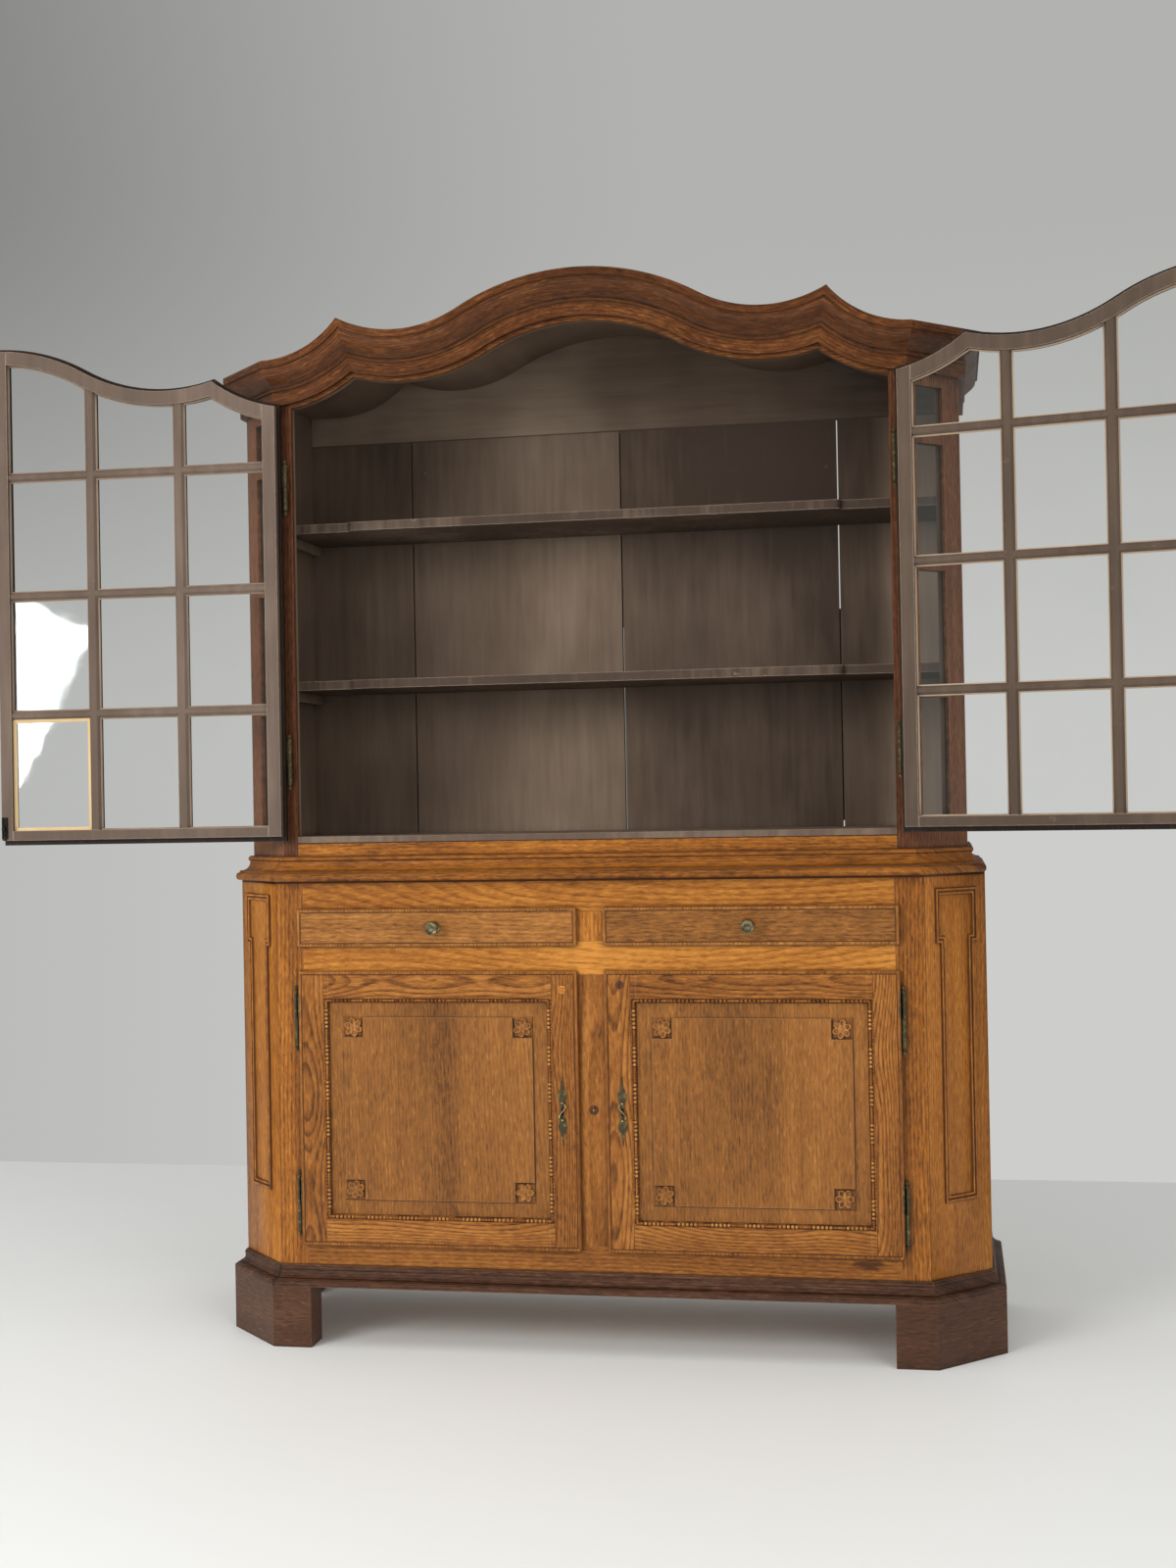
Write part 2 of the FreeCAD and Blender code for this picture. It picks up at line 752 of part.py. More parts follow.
bars = []
for i in (1, 2):
    x = pane_free + i * column + (i - 0.5) * upright_bar
    section = bar_section(lambda a, b: FreeCAD.Vector(x + a, b, pane_low), upright_bar)
    bars.append(section.extrude(FreeCAD.Vector(0, 0, arch_top - pane_low)))
for level in bar_levels:
    section = bar_section(lambda a, b: FreeCAD.Vector(pane_free, b, level + a), level_bar)
    bars.append(section.extrude(FreeCAD.Vector(pane_hinge - pane_free, 0, 0)))
lattice = bars[0].fuse(bars[1:]).common(light).removeSplitter()
sheet = arched_slab(pane_free, pane_hinge, pane_low, pane_top, -glass / 2, glass / 2)
glazing = sheet.cut(lattice)


def swung(shape, angle):
    copy = shape.copy()
    copy.rotate(FreeCAD.Vector(upper_axis[0], upper_axis[1], 0), FreeCAD.Vector(0, 0, 1), angle)
    return copy


glazed_joinery = stiles_and_rails(frame, pane_free, pane_hinge) + [lattice]
for side, angle in (("right", open_right), ("left", open_left)):
    for name, shapes in (("glazed_frame", glazed_joinery), ("glazed_glass", [glazing]),
                         ("glazed_hinges", upper_leaves)):
        placed = [swung(shape, angle) for shape in shapes]
        if side == "left":
            placed = [mirror(shape) for shape in placed]
        save(name + "_" + side, *placed)

# Panelled doors, shut
door_free = mullion_half - overlay
door_bottom = door_opening_low - overlay
door_top = door_opening_high + overlay
panel_x0, panel_x1 = door_free + panel_stile, panel_edge - panel_stile
panel_z0, panel_z1 = door_bottom + panel_stile, door_top - panel_stile
frame = box(door_free, panel_edge, lip_front, -seat_gap, door_bottom, door_top)
frame = frame.fuse(box(mullion_half + run_gap, base_opening - run_gap, -seat_gap, panel_inner,
                       door_opening_low + run_gap, door_opening_high - run_gap))
frame = frame.cut(box(panel_x0, panel_x1, lip_front - 1, panel_inner + 1, panel_z0, panel_z1)).removeSplitter()
arris = []
for edge in frame.Edges:
    spot = edge.CenterOfMass
    within = panel_x0 - 1 < spot.x < panel_x1 + 1 and panel_z0 - 1 < spot.z < panel_z1 + 1
    if within and abs(spot.y - lip_front) < 1e-6:
        arris.append(edge)
save_pair("panel_frame", *stiles_and_rails(frame.makeChamfer(panel_bevel, arris), panel_x0, panel_x1))

ground = lip_front + panel_set
panel = box(panel_x0, panel_x1, ground, ground + panel_thick, panel_z0, panel_z1)
a0, a1 = panel_x0 + field_margin, panel_x1 - field_margin
b0, b1 = panel_z0 + field_margin, panel_z1 - field_margin
n = field_notch
field = outline(front(ground - field_rise), (a0 + n, b0), (a1 - n, b0), (a1 - n, b0 + n), (a1, b0 + n),
                (a1, b1 - n), (a1 - n, b1 - n), (a1 - n, b1), (a0 + n, b1), (a0 + n, b1 - n), (a0, b1 - n),
                (a0, b0 + n), (a0 + n, b0 + n))
save_pair("panel", panel.fuse(field.extrude(FreeCAD.Vector(0, field_rise, 0))).removeSplitter())

plate_x = door_free + plate_from_edge
plate_level = (door_bottom + door_top) / 2
half = plate_high / 2
plate = outline(front(lip_front - plate_thick), (plate_x, plate_level - half),
                ((plate_x + plate_wide / 2, plate_level), (plate_x, plate_level + half)),
                ((plate_x - plate_wide / 2, plate_level), (plate_x, plate_level - half)))
plate = plate.extrude(FreeCAD.Vector(0, plate_thick, 0))
hole = box(plate_x - keyhole_wide / 2, plate_x + keyhole_wide / 2, lip_front - plate_thick, lip_front,
           plate_level - keyhole_high / 2, plate_level + keyhole_high / 2)
save_pair("escutcheon", plate.cut(hole))

# Drawers, shut
drawer_lip = box(door_free, panel_edge, lip_front, -seat_gap,
                 drawer_opening_low - overlay, drawer_opening_high + overlay)
x0, x1 = mullion_half + run_gap, base_opening - run_gap
z0, z1 = drawer_opening_low + slide_gap, drawer_opening_high - drawer_top_gap
drawer_length = base_back_y - drawer_back_gap
tongue = box(x0, x1, -seat_gap, drawer_side, z0, z1)
save_pair("drawer_front", drawer_lip.fuse(tongue).removeSplitter())
walls = [box(x0, x0 + drawer_side, drawer_side, drawer_length, z0, z1),
         box(x1 - drawer_side, x1, drawer_side, drawer_length, z0, z1),
         box(x0 + drawer_side, x1 - drawer_side, drawer_length - drawer_side, drawer_length, z0, z1),
         box(x0 + drawer_side, x1 - drawer_side, drawer_side, drawer_length - drawer_side, z0, z0 + drawer_bottom)]
save_pair("drawer_box", *walls)

knob_x = (door_free + panel_edge) / 2
knob_z = (drawer_opening_low + drawer_opening_high) / 2
r = knob_radius
tiers = [(0, knob_foot), (2, knob_foot), (5, knob_stem), (9, knob_stem), (14, r), (knob_length - 7, r),
         (knob_length - 2, r * 0.75), (knob_length, r * 0.3)]
save_pair("drawer_knob", many_sided(tiers, knob_sides,
                                    lambda a, b, out: FreeCAD.Vector(knob_x + a, lip_front - out, knob_z + b)))
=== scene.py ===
import math

import bmesh
import bpy
from mathutils import Matrix, Vector


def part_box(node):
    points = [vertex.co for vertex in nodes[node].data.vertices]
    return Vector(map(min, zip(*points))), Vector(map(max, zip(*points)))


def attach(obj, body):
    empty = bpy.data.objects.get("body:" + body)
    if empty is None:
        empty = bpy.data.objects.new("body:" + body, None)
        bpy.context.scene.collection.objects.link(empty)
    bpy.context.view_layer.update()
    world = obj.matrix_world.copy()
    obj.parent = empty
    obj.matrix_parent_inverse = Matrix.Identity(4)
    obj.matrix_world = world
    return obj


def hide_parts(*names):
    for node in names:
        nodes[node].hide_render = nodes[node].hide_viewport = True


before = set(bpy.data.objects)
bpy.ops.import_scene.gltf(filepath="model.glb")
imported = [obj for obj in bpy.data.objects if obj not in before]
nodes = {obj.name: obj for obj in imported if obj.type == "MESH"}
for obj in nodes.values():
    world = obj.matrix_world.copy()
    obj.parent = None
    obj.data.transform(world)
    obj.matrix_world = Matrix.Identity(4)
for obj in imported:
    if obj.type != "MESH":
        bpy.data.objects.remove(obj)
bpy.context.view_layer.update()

mm = 0.001
print("frame loaded with", len(nodes), "nodes")


# Camera, found from the corners of the case in the picture
viewpoint = {
    "place": (0.6951, -3.8545, 1.0961),
    "yaw": -0.18577,
    "pitch": 0.00794,
    "roll": 0.01856,
    "focalPixels": 1938.85,
    "imageHigh": 1600,
    "sensor": 36.0,
}


def setCamera(look):
    yaw, pitch, roll = look["yaw"], look["pitch"], look["roll"]
    ahead = Vector((math.sin(yaw) * math.cos(pitch), math.cos(yaw) * math.cos(pitch), math.sin(pitch)))
    right = Vector((math.cos(yaw), -math.sin(yaw), 0))
    down = ahead.cross(right)
    axisX = right * math.cos(roll) + down * math.sin(roll)
    axisY = right * math.sin(roll) - down * math.cos(roll)
    data = bpy.data.cameras.new("viewCamera")
    data.sensor_width = look["sensor"]
    data.lens = look["sensor"] * look["focalPixels"] / look["imageHigh"]
    camera = bpy.data.objects.new("viewCamera", data)
    turn = Matrix((axisX, axisY, -ahead)).transposed()
    camera.matrix_world = Matrix.Translation(look["place"]) @ turn.to_4x4()
    bpy.context.scene.collection.objects.link(camera)
    bpy.context.scene.camera = camera


setCamera(viewpoint)
bpy.context.scene.view_settings.view_transform = "Standard"


# Shader building
def tone(red, green, blue):
    linear = []
    for part in (red, green, blue):
        share = part / 255
        linear.append(share / 12.92 if share <= 0.04045 else ((share + 0.055) / 1.055) ** 2.4)
    return (*linear, 1.0)


class Wire:
    def __init__(self, finish, socket):
        self.finish = finish
        self.socket = socket

    def sum(self, operation, first, second):
        return self.finish.node("Math", {"operation": operation}, {0: first, 1: second})

    def __add__(self, other):
        return self.sum("ADD", self, other)

    def __radd__(self, other):
        return self.sum("ADD", other, self)

    def __sub__(self, other):
        return self.sum("SUBTRACT", self, other)

    def __rsub__(self, other):
        return self.sum("SUBTRACT", other, self)

    def __mul__(self, other):
        return self.sum("MULTIPLY", self, other)

    def __pow__(self, other):
        return self.sum("POWER", self, other)

    def __abs__(self):
        return self.sum("ABSOLUTE", self, 0)


class Finish:
    def __init__(self, owner):
        owner.use_nodes = True
        self.owner = owner
        self.tree = owner.node_tree

    def node(self, kind, settings=None, sockets=None, out=0):
        made = self.tree.nodes.new("ShaderNode" + kind)
        for key, value in (settings or {}).items():
            if key == "stops":
                self.setStops(made.color_ramp.elements, value)
            else:
                setattr(made, key, value)
        for key, value in (sockets or {}).items():
            self.feed(made.inputs[key], value)
        return Wire(self, made.outputs[out])

    def feed(self, socket, value):
        if isinstance(value, Wire):
            self.tree.links.new(value.socket, socket)
        else:
            socket.default_value = value

    def setStops(self, elements, stops):
        while len(elements) < len(stops):
            elements.new(1.0)
        for element, (spot, colour) in zip(elements, stops):
            element.position = spot
            element.color = colour

    def shade(self, **sockets):
        shader = self.tree.nodes["Principled BSDF"]
        for key, value in sockets.items():
            self.feed(shader.inputs[key.replace("_", " ")], value)
        return self.owner

    def spot(self):
        return self.node("TexCoord", out="Object")

    def grain(self):
        # Distances along and across a swept moulding, kept on its mesh
        return self.node("Attribute", {"attribute_name": "grain"}, out="Vector")

    def split(self, vector):
        made = self.node("SeparateXYZ", None, {0: vector}).socket.node
        return [Wire(self, output) for output in made.outputs]

    def join(self, x, y, z):
        return self.node("CombineXYZ", None, {0: x, 1: y, 2: z})

    def noise(self, vector, scale=1.0, detail=2.0, rough=0.5):
        sockets = {"Vector": vector, "Scale": scale, "Detail": detail, "Roughness": rough}
        return self.node("TexNoise", None, sockets)

    def step(self, value, low, high):
        return self.node("MapRange", {"interpolation_type": "SMOOTHSTEP"}, {0: value, 1: low, 2: high})

    def mix(self, factor, first, second):
        return self.node("Mix", {"data_type": "RGBA"}, {0: factor, 6: first, 7: second}, 2)

    def ramp(self, value, *stops):
        return self.node("ValToRGB", {"stops": stops}, {0: value})

    def bump(self, height, depth, strength=1.0):
        return self.node("Bump", None, {"Height": height, "Distance": depth, "Strength": strength})

    def creases(self, reach, samples=4):
        ao = self.node("AmbientOcclusion", {"samples": samples}, {"Distance": reach}, "AO")
        return 1 - ao

    def edges(self, reach, samples=4):
        soft = self.node("Bevel", {"samples": samples}, {"Radius": reach})
        sharp = self.node("NewGeometry", out="True Normal")
        along = self.node("VectorMath", {"operation": "DOT_PRODUCT"}, {0: soft, 1: sharp}, "Value")
        return 1 - along

    def band(self, value, low, high, soft=0.0003):
        return self.step(value, low - soft, low + soft) * (1 - self.step(value, high - soft, high + soft))

    def outside(self, low, high):
        # How far a spot lies outside a rectangle seen from the front, below zero within it
        middle, half = (low + high) / 2, (high - low) / 2
        x, _, z = self.split(self.spot())
        return x.sum("MAXIMUM", abs(x - middle.x) - half.x, abs(z - middle.z) - half.z)

    def beyond(self, point, direction):
        # How far a spot lies past a plane
        away = self.node("VectorMath", {"operation": "SUBTRACT"}, {0: self.spot(), 1: point})
        return self.node("VectorMath", {"operation": "DOT_PRODUCT"}, {0: away, 1: direction}, "Value")


def newFinish(name):
    return Finish(bpy.data.materials.new(name))


# Depth of the grain and of brush marks
surfaceDeep = 0.5 * mm

# Oak: growth rings cut through by the board's face, pores, flecks and old wax, with dirt and painted shade in
# creases, and edges lightened partly by wear and partly as painted highlight
oakLook = {
    "along": "z",
    "centre": 0.3,
    "heart": 0.14,
    "seed": 0.0,
    "rings": 150.0,
    "lines": 0.26,
    "arch": 0.7,
    "deep": 0.2,
    "lean": 0.8,
    "swept": False,
    "streaks": 0.7,
    "blotch": 0.6,
    "fine": 0.85,
    "pores": 0.16,
    "worn": 0.35,
    "dark": tone(82, 48, 20),
    "mid": tone(158, 101, 46),
    "light": tone(205, 147, 76),
    "dirt": tone(40, 22, 10),
    "pale": tone(206, 156, 108),
    "flecks": 0.6,
    "grime": 0.9,
    "grimeFrom": 0.26,
    "reach": 0.014,
    "arris": 0.0024,
    "quirk": 0.0,
    "streak": 0.0,
    "shift": 0.0,
    "rough": 0.46,
    "shine": 0.3,
    "coat": 0.05,
}


def layOfBoard(f, look):
    # Places along and across the grain, and a number for the board
    x, y, z = f.split(f.grain() if look["swept"] else f.spot())
    if look["along"] == "x":
        return x, z + y * look["lean"], 0.0
    return z, x + y * look["lean"], 0.0


# Stretch of each pattern along and across the grain, its detail and its roughness
oakPatterns = {
    "wander": (1.1, 8, 3, 0.5),
    "pores": (50, 420, 2, 0.5),
    "fine": (45, 180, 4, 0.65),
    "streaks": (0.9, 38, 4, 0.6),
    "blotch": (2.4, 5, 3, 0.6),
}


def oakTone(f, look, lay=layOfBoard):
    along, across, board = lay(f, look)
    seed = board * 3.7 + look["seed"]

    def pattern(name):
        far, wide, detail, rough = oakPatterns[name]
        return f.noise(f.join(along * far, across * wide, seed), 1, detail, rough)

    wander = pattern("wander")
    depth = f.noise(f.join(along * look["arch"], seed, seed), 1, 1) * look["deep"]
    heart = across - look["centre"] + (wander - 0.5) * 0.025
    radius = (heart * heart + depth * depth) ** 0.5
    ring = f.node("Math", {"operation": "FRACT"}, {0: radius * look["rings"] + wander * 2.6})
    late = f.step(ring, 0.35, 0.9) * (1 - f.step(ring, 0.9, 1.0))
    pores = f.step(pattern("pores"), 0.5, 0.66)
    fine, streaks, blotch = pattern("fine"), pattern("streaks"), pattern("blotch")
    flecks = f.step(f.noise(f.join(along * 60 + across * 40, across * 260, seed), 1, 1), 0.6, 0.74)
    value = 0.56 + (streaks - 0.5) * look["streaks"] + (blotch - 0.5) * look["blotch"]
    value = value + (fine - 0.5) * look["fine"] - late * look["lines"] * (0.25 + streaks)
    value = value - pores * look["pores"] + flecks * 0.26 * look["flecks"] + look["shift"]
    if look["streak"]:
        near = 1 - f.step(abs(across - look["centre"] + look["heart"] + (wander - 0.5) * 0.06), 0.0, 0.06)
        value = value - near * look["streak"]
    height = 0.0 - late * 0.25 - pores * 0.6 - fine * 0.3
    return value, height, flecks


def oakColour(f, look, value):
    colour = f.ramp(value, (0.08, look["dark"]), (0.5, look["mid"]), (0.92, look["light"]))
    patchiness = f.noise(f.spot(), 60, 3, 0.6)
    start = look["grimeFrom"]
    # Painted shade with some dirt: darker in creases found by ambient occlusion
    grime = f.step(f.creases(look["reach"]) + (patchiness - 0.5) * 0.2, start, start + 0.46) * look["grime"]
    # Edges lightened toward a pale tone, partly wear and partly painted highlight
    rubbedAndLit = f.step(f.edges(look["arris"]) + (patchiness - 0.5) * 0.12, 0.03, 0.22) * look["worn"]
    return f.mix(rubbedAndLit, f.mix(grime, colour, look["dirt"]), look["pale"]), grime


def oakRough(f, look, flecks, grime):
    rub = f.noise(f.spot(), 9, 3, 0.6)
    return look["rough"] + (rub - 0.5) * 0.25 - flecks * 0.08 + grime * 0.25


def oak(name, shades=None, lay=layOfBoard, **changes):
    look = {**oakLook, **changes}
    f = newFinish(name)
    value, height, flecks = oakTone(f, look, lay)
    if shades:
        value = value - shades(f)
    colour, grime = oakColour(f, look, value)
    return f.shade(Base_Color=colour, Roughness=oakRough(f, look, flecks, grime),
                   Normal=f.bump(height, surfaceDeep, 0.5), Specular_IOR_Level=look["shine"],
                   Coat_Weight=look["coat"], Coat_Roughness=0.3)


# Old taupe paint inside the display case, over stained oak on the outside
paintLook = {
    "thin": tone(72, 58, 48),
    "body": tone(112, 94, 79),
    "dusty": tone(146, 128, 110),
    "chip": tone(186, 166, 144),
    "dirt": tone(38, 30, 25),
    "chips": 0.5,
    "chipFrom": 0.12,
    "scuffs": 0.12,
    "grime": 0.8,
    "reach": 0.03,
    "arris": 0.0035,
    "seed": 0.0,
    "rough": 0.62,
}


def paintColour(f, look, shade=0.0, level=0.0):
    x, y, z = f.split(f.spot())
    seed = look["seed"]
    upright = f.noise(f.join(x * 60 + seed, y * 60, z * 5), 1, 3, 0.6)
    brush = upright + (f.noise(f.join(x * 5 + seed, y * 5, z * 60), 1, 3, 0.6) - upright) * level
    cloud = f.noise(f.join(x * 3 + seed, y * 3, z * 2.2), 1, 3, 0.6)
    value = 0.5 + (brush - 0.5) * 0.42 + (cloud - 0.5) * 0.9 - shade
    colour = f.ramp(value, (0.0, look["thin"]), (0.5, look["body"]), (0.95, look["dusty"]))
    worn = f.noise(f.join(x * 90, y * 90, z * 60 + seed), 1, 4, 0.65)
    wear = f.edges(look["arris"]) + (worn - 0.5) * 0.4
    chips = f.step(wear, look["chipFrom"], look["chipFrom"] + 0.1) * look["chips"]
    scuffs = f.step(f.noise(f.join(x * 30, y * 30, z * 30 + seed), 1, 4, 0.7), 0.66, 0.74) * look["scuffs"]
    colour = f.mix(chips + scuffs, colour, look["chip"])
    # Painted shade with some dirt: darker in creases found by ambient occlusion
    grime = f.step(f.creases(look["reach"]) + (worn - 0.5) * 0.15, 0.3, 0.85) * look["grime"]
    return f.mix(grime, colour, look["dirt"]), brush * 0.5 - chips * 0.6


def paint(name, **changes):
    look = {**paintLook, **changes}
    f = newFinish(name)
    colour, height = paintColour(f, look)
    return f.shade(Base_Color=colour, Roughness=look["rough"], Normal=f.bump(height, surfaceDeep, 0.6),
                   Specular_IOR_Level=0.25)


def paintedInside(name, point, inward, paintChanges=None, shades=None, level=None, **changes):
    # Stained oak before a plane and paint past it
    look = {**oakLook, **changes}
    inner = {**paintLook, **(paintChanges or {})}
    f = newFinish(name)
    value, height, _ = oakTone(f, look)
    colour, _ = oakColour(f, look, value)
    coat, brush = paintColour(f, inner, shades(f) if shades else 0.0, level(f) if level else 0.0)
    ragged = f.noise(f.spot(), 140, 2) * 0.0016 - 0.0008
    past = f.beyond(point, inward) + ragged
    mask = f.step(past, -0.0004, 0.0004)
    colour = f.mix(f.band(past, -0.0022, 0.0004, 0.0006) * look["quirk"], colour, look["dirt"])
    rough = look["rough"] + mask * (inner["rough"] - look["rough"])
    return f.shade(Base_Color=f.mix(mask, colour, coat), Roughness=rough, Specular_IOR_Level=look["shine"],
                   Normal=f.bump(height * (1 - mask) + brush * mask, surfaceDeep, 0.5))


def paintedUnder(name, paintChanges=None, **changes):
    # Bare boards on top and paint on the faces that look down, with painted shade darker toward the front and
    # lighter toward the back
    look = {**oakLook, **changes}
    f = newFinish(name)
    value, height, _ = oakTone(f, look)
    colour, _ = oakColour(f, look, value)
    # Painted shade: the paint grows darker toward the front of the ceiling
    far = f.step(f.split(f.spot())[1], -0.2, 0.25)
    coat, brush = paintColour(f, {**paintLook, **(paintChanges or {})}, 0.7 - far * 0.62, 1.0)
    faces = f.split(f.node("NewGeometry", out="True Normal"))[2]
    mask = 1 - f.step(faces, -0.2, 0.1)
    return f.shade(Base_Color=f.mix(mask, colour, coat), Roughness=look["rough"],
                   Specular_IOR_Level=look["shine"],
                   Normal=f.bump(height * (1 - mask) + brush * mask, surfaceDeep, 0.5))


# Metals and glass
def metal(name, bright, dull, patina, cover, rough, dents=0.5):
    f = newFinish(name)
    cloud = f.noise(f.spot(), 130, 4, 0.65)
    fine = f.noise(f.spot(), 900, 2)
    hollow = f.step(f.creases(0.006), 0.15, 0.7)
    rubbedAndLit = f.step(f.edges(0.0015), 0.03, 0.3)
    colour = f.mix(f.step(cloud, 0.4, 0.65), bright, dull)
    aged = f.step(cloud + hollow * 0.5 - rubbedAndLit * 0.3, 1 - cover - 0.15, 1 - cover + 0.1)
    colour = f.mix(aged, colour, patina)
    return f.shade(Base_Color=colour, Metallic=1 - aged * 0.75,
                   Roughness=rough + aged * 0.3 + (fine - 0.5) * 0.15,
                   Normal=f.bump(cloud * 0.6 + fine * 0.4, 0.0003, dents))


glassIndex = 1.5


def windowGlass(name):
    # The index turns over where a pane is seen from its inner side
    f = newFinish(name)
    back = f.node("NewGeometry", out="Backfacing")
    shine = f.node("Fresnel", None, {"IOR": glassIndex - back * (glassIndex - 1 / glassIndex)})
    dust = f.step(f.noise(f.spot(), 5, 4, 0.65), 0.45, 0.9)
    ripple = f.noise(f.spot(), 7, 2)
    return f.shade(Base_Color=tone(236, 244, 242), Metallic=1.0, Roughness=0.02 + dust * 0.05,
                   Alpha=shine * 0.95 + dust * 0.03, Normal=f.bump(ripple, 0.002, 0.22))


# Floor, air and lamps
studio = {
    "floorColour": tone(238, 238, 234),
    "floorBack": 1.64,
    "floorFront": -9.0,
    "floorHalf": 9.0,
    "airLow": tone(205, 206, 203),
    "airHigh": tone(178, 179, 176),
    "airCorner": tone(118, 118, 116),
    "airLeft": tone(184, 185, 183),
    "airLight": tone(246, 248, 250),
    "airStrength": 0.62,
    "mirrorStrength": 0.4,
}
lamps = {
    "keyLamp": {"place": (-2.6, -4.0, 2.7), "aim": (0.1, 0.0, 1.0), "size": (2.4, 2.0), "watts": 120},
    "sideLamp": {"place": (3.0, -4.0, 2.2), "aim": (0.2, 0.0, 1.1), "size": (2.2, 2.2), "watts": 60},
    "topLamp": {"place": (0.0, -1.2, 4.4), "aim": (0.0, 0.1, 0.0), "size": (3.6, 2.6), "watts": 36},
    "windowLamp": {"place": (-2.474, -2.936, 1.552), "aim": (-1.129, -0.204, 1.432), "size": (0.52, 0.67),
                   "watts": 12, "roll": -25, "mirrored": True},
}


def setStudio(look):
    world = bpy.data.worlds.new("studioAir")
    bpy.context.scene.world = world
    f = Finish(world)
    way, _, rise = f.split(f.node("TexCoord", out="Generated"))
    # Painted shade on the backdrop that the camera sees: darker up high and to the left, darkest in the upper
    # left corner
    seen = f.mix(f.step(rise, 0.0, 0.3), look["airLow"], look["airHigh"])
    left = f.step(0.0 - way, 0.1, 0.6)
    seen = f.mix(left, seen, look["airLeft"])
    seen = f.mix(f.step(rise, 0.02, 0.32) * left, seen, look["airCorner"])
    path = f.node("LightPath").socket.node.outputs
    shows = Wire(f, path["Is Camera Ray"]) + Wire(f, path["Is Transmission Ray"])
    lit = f.node("Background", None, {"Color": look["airLight"], "Strength": look["airStrength"]})
    mirrored = f.node("Background", None, {"Color": look["airLow"], "Strength": look["mirrorStrength"]})
    backdrop = f.node("Background", None, {"Color": seen, "Strength": 1.0})
    unseen = f.node("MixShader", None, {0: Wire(f, path["Is Glossy Ray"]), 1: lit, 2: mirrored})
    both = f.node("MixShader", None, {0: f.step(shows, 0.0, 1.0), 1: unseen, 2: backdrop})
    f.feed(f.tree.nodes["World Output"].inputs["Surface"], both)

    f = newFinish("paleFloor")
    scuff = f.noise(f.spot(), 1.3, 4, 0.6)
    colour = f.mix(f.step(scuff, 0.3, 0.8) * 0.1, look["floorColour"], tone(200, 201, 198))
    f.shade(Base_Color=colour, Roughness=0.45 + scuff * 0.2)
    half, near, far = look["floorHalf"], look["floorFront"], look["floorBack"]
    mesh = bpy.data.meshes.new("paleFloor")
    mesh.from_pydata([(-half, near, 0), (half, near, 0), (half, far, 0), (-half, far, 0)], [], [(0, 1, 2, 3)])
    mesh.materials.append(f.owner)
    floor = bpy.data.objects.new("paleFloor", mesh)
    bpy.context.scene.collection.objects.link(floor)


def setLamps(rig):
    for name, lamp in rig.items():
        data = bpy.data.lights.new(name, "AREA")
        data.shape = "RECTANGLE"
        data.size, data.size_y = lamp["size"]
        data.energy = lamp["watts"]
        light = bpy.data.objects.new(name, data)
        light.location = lamp["place"]
        light.visible_glossy = lamp.get("mirrored", False)
        toward = Vector(lamp["aim"]) - Vector(lamp["place"])
        tilt = Matrix.Rotation(math.radians(lamp.get("roll", 0)), 3, "Z")
        light.rotation_euler = (toward.to_track_quat("-Z", "Y").to_matrix() @ tilt).to_euler()
        bpy.context.scene.collection.objects.link(light)


setStudio(studio)
setLamps(lamps)
print("studio and camera set")


# Mesh building
class Form:
    def __init__(self):
        self.points = []
        self.faces = []
        self.marks = []
        self.grain = []

    def skin(self, rings, loop=False, caps=True, mark=0):
        # Rings of equal counts joined in order; loop joins the last to the first
        start = len(self.points)
        count = len(rings[0])
        for ring in rings:
            self.points += [Vector(point) for point in ring]
        made = []
        pairs = len(rings) if loop else len(rings) - 1
        for i in range(pairs):
            a = start + i * count
            b = start + (i + 1) % len(rings) * count
            for k in range(count):
                n = (k + 1) % count
                made.append((a + k, a + n, b + n, b + k))
        if caps and not loop:
            made.append(tuple(range(start, start + count)))
            last = start + (len(rings) - 1) * count
            made.append(tuple(range(last, last + count)))
        self.faces += made
        self.marks += [mark] * len(made)

    def lathe(self, profile, count, place, mark=0):
        turns = [2 * math.pi * i / count for i in range(count)]
        rings = [[place(radius * math.cos(t), radius * math.sin(t), along) for t in turns]
                 for along, radius in profile]
        self.skin(rings, mark=mark)

    def block(self, low, high, place=Vector, mark=0):
        (x0, y0, z0), (x1, y1, z1) = low, high
        corners = ((x0, y0), (x1, y0), (x1, y1), (x0, y1))
        rings = [[place((x, y, z)) for x, y in corners] for z in (z0, z1)]
        self.skin(rings, mark=mark)


def addPiece(name, form, finishes, body, crease=38, replaces=(), bevel=0.0):
    mesh = bpy.data.meshes.new(name)
    mesh.from_pydata(form.points, [], form.faces)
    bm = bmesh.new()
    bm.from_mesh(mesh)
    bmesh.ops.recalc_face_normals(bm, faces=bm.faces)
    bm.to_mesh(mesh)
    bm.free()
    for finish in finishes:
        mesh.materials.append(finish)
    for polygon, mark in zip(mesh.polygons, form.marks):
        polygon.material_index = mark
        polygon.use_smooth = True
    mesh.set_sharp_from_angle(angle=math.radians(crease))
    if form.grain:
        kept = mesh.attributes.new("grain", "FLOAT_VECTOR", "POINT")
        kept.data.foreach_set("vector", [part for place in form.grain for part in place])
    piece = bpy.data.objects.new(name, mesh)
    bpy.context.scene.collection.objects.link(piece)
    if bevel:
        soften(piece, bevel)
    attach(piece, body)
    if replaces:
        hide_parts(*replaces)


def soften(piece, width, segments=2):
    weld = piece.modifiers.new("weld", "WELD")
    weld.merge_threshold = 0.00002
    bevel = piece.modifiers.new("arris", "BEVEL")
    bevel.width = width
    bevel.segments = segments
    bevel.limit_method = "ANGLE"
    bevel.angle_limit = math.radians(40)
    bevel.use_clamp_overlap = True
    bevel.harden_normals = True


def outFrom(x, face, z):
    # Places of a turned piece that stands out from a front face
    def place(a, b, along):
        return x + a * mm, face - along * mm, z + b * mm
    return place


def arcPoints(centre, radius, first, last, count):
    points = []
    for i in range(count + 1):
        turn = math.radians(first + (last - first) * i / count)
        points.append((centre[0] + radius * math.cos(turn), centre[1] + radius * math.sin(turn)))
    return points


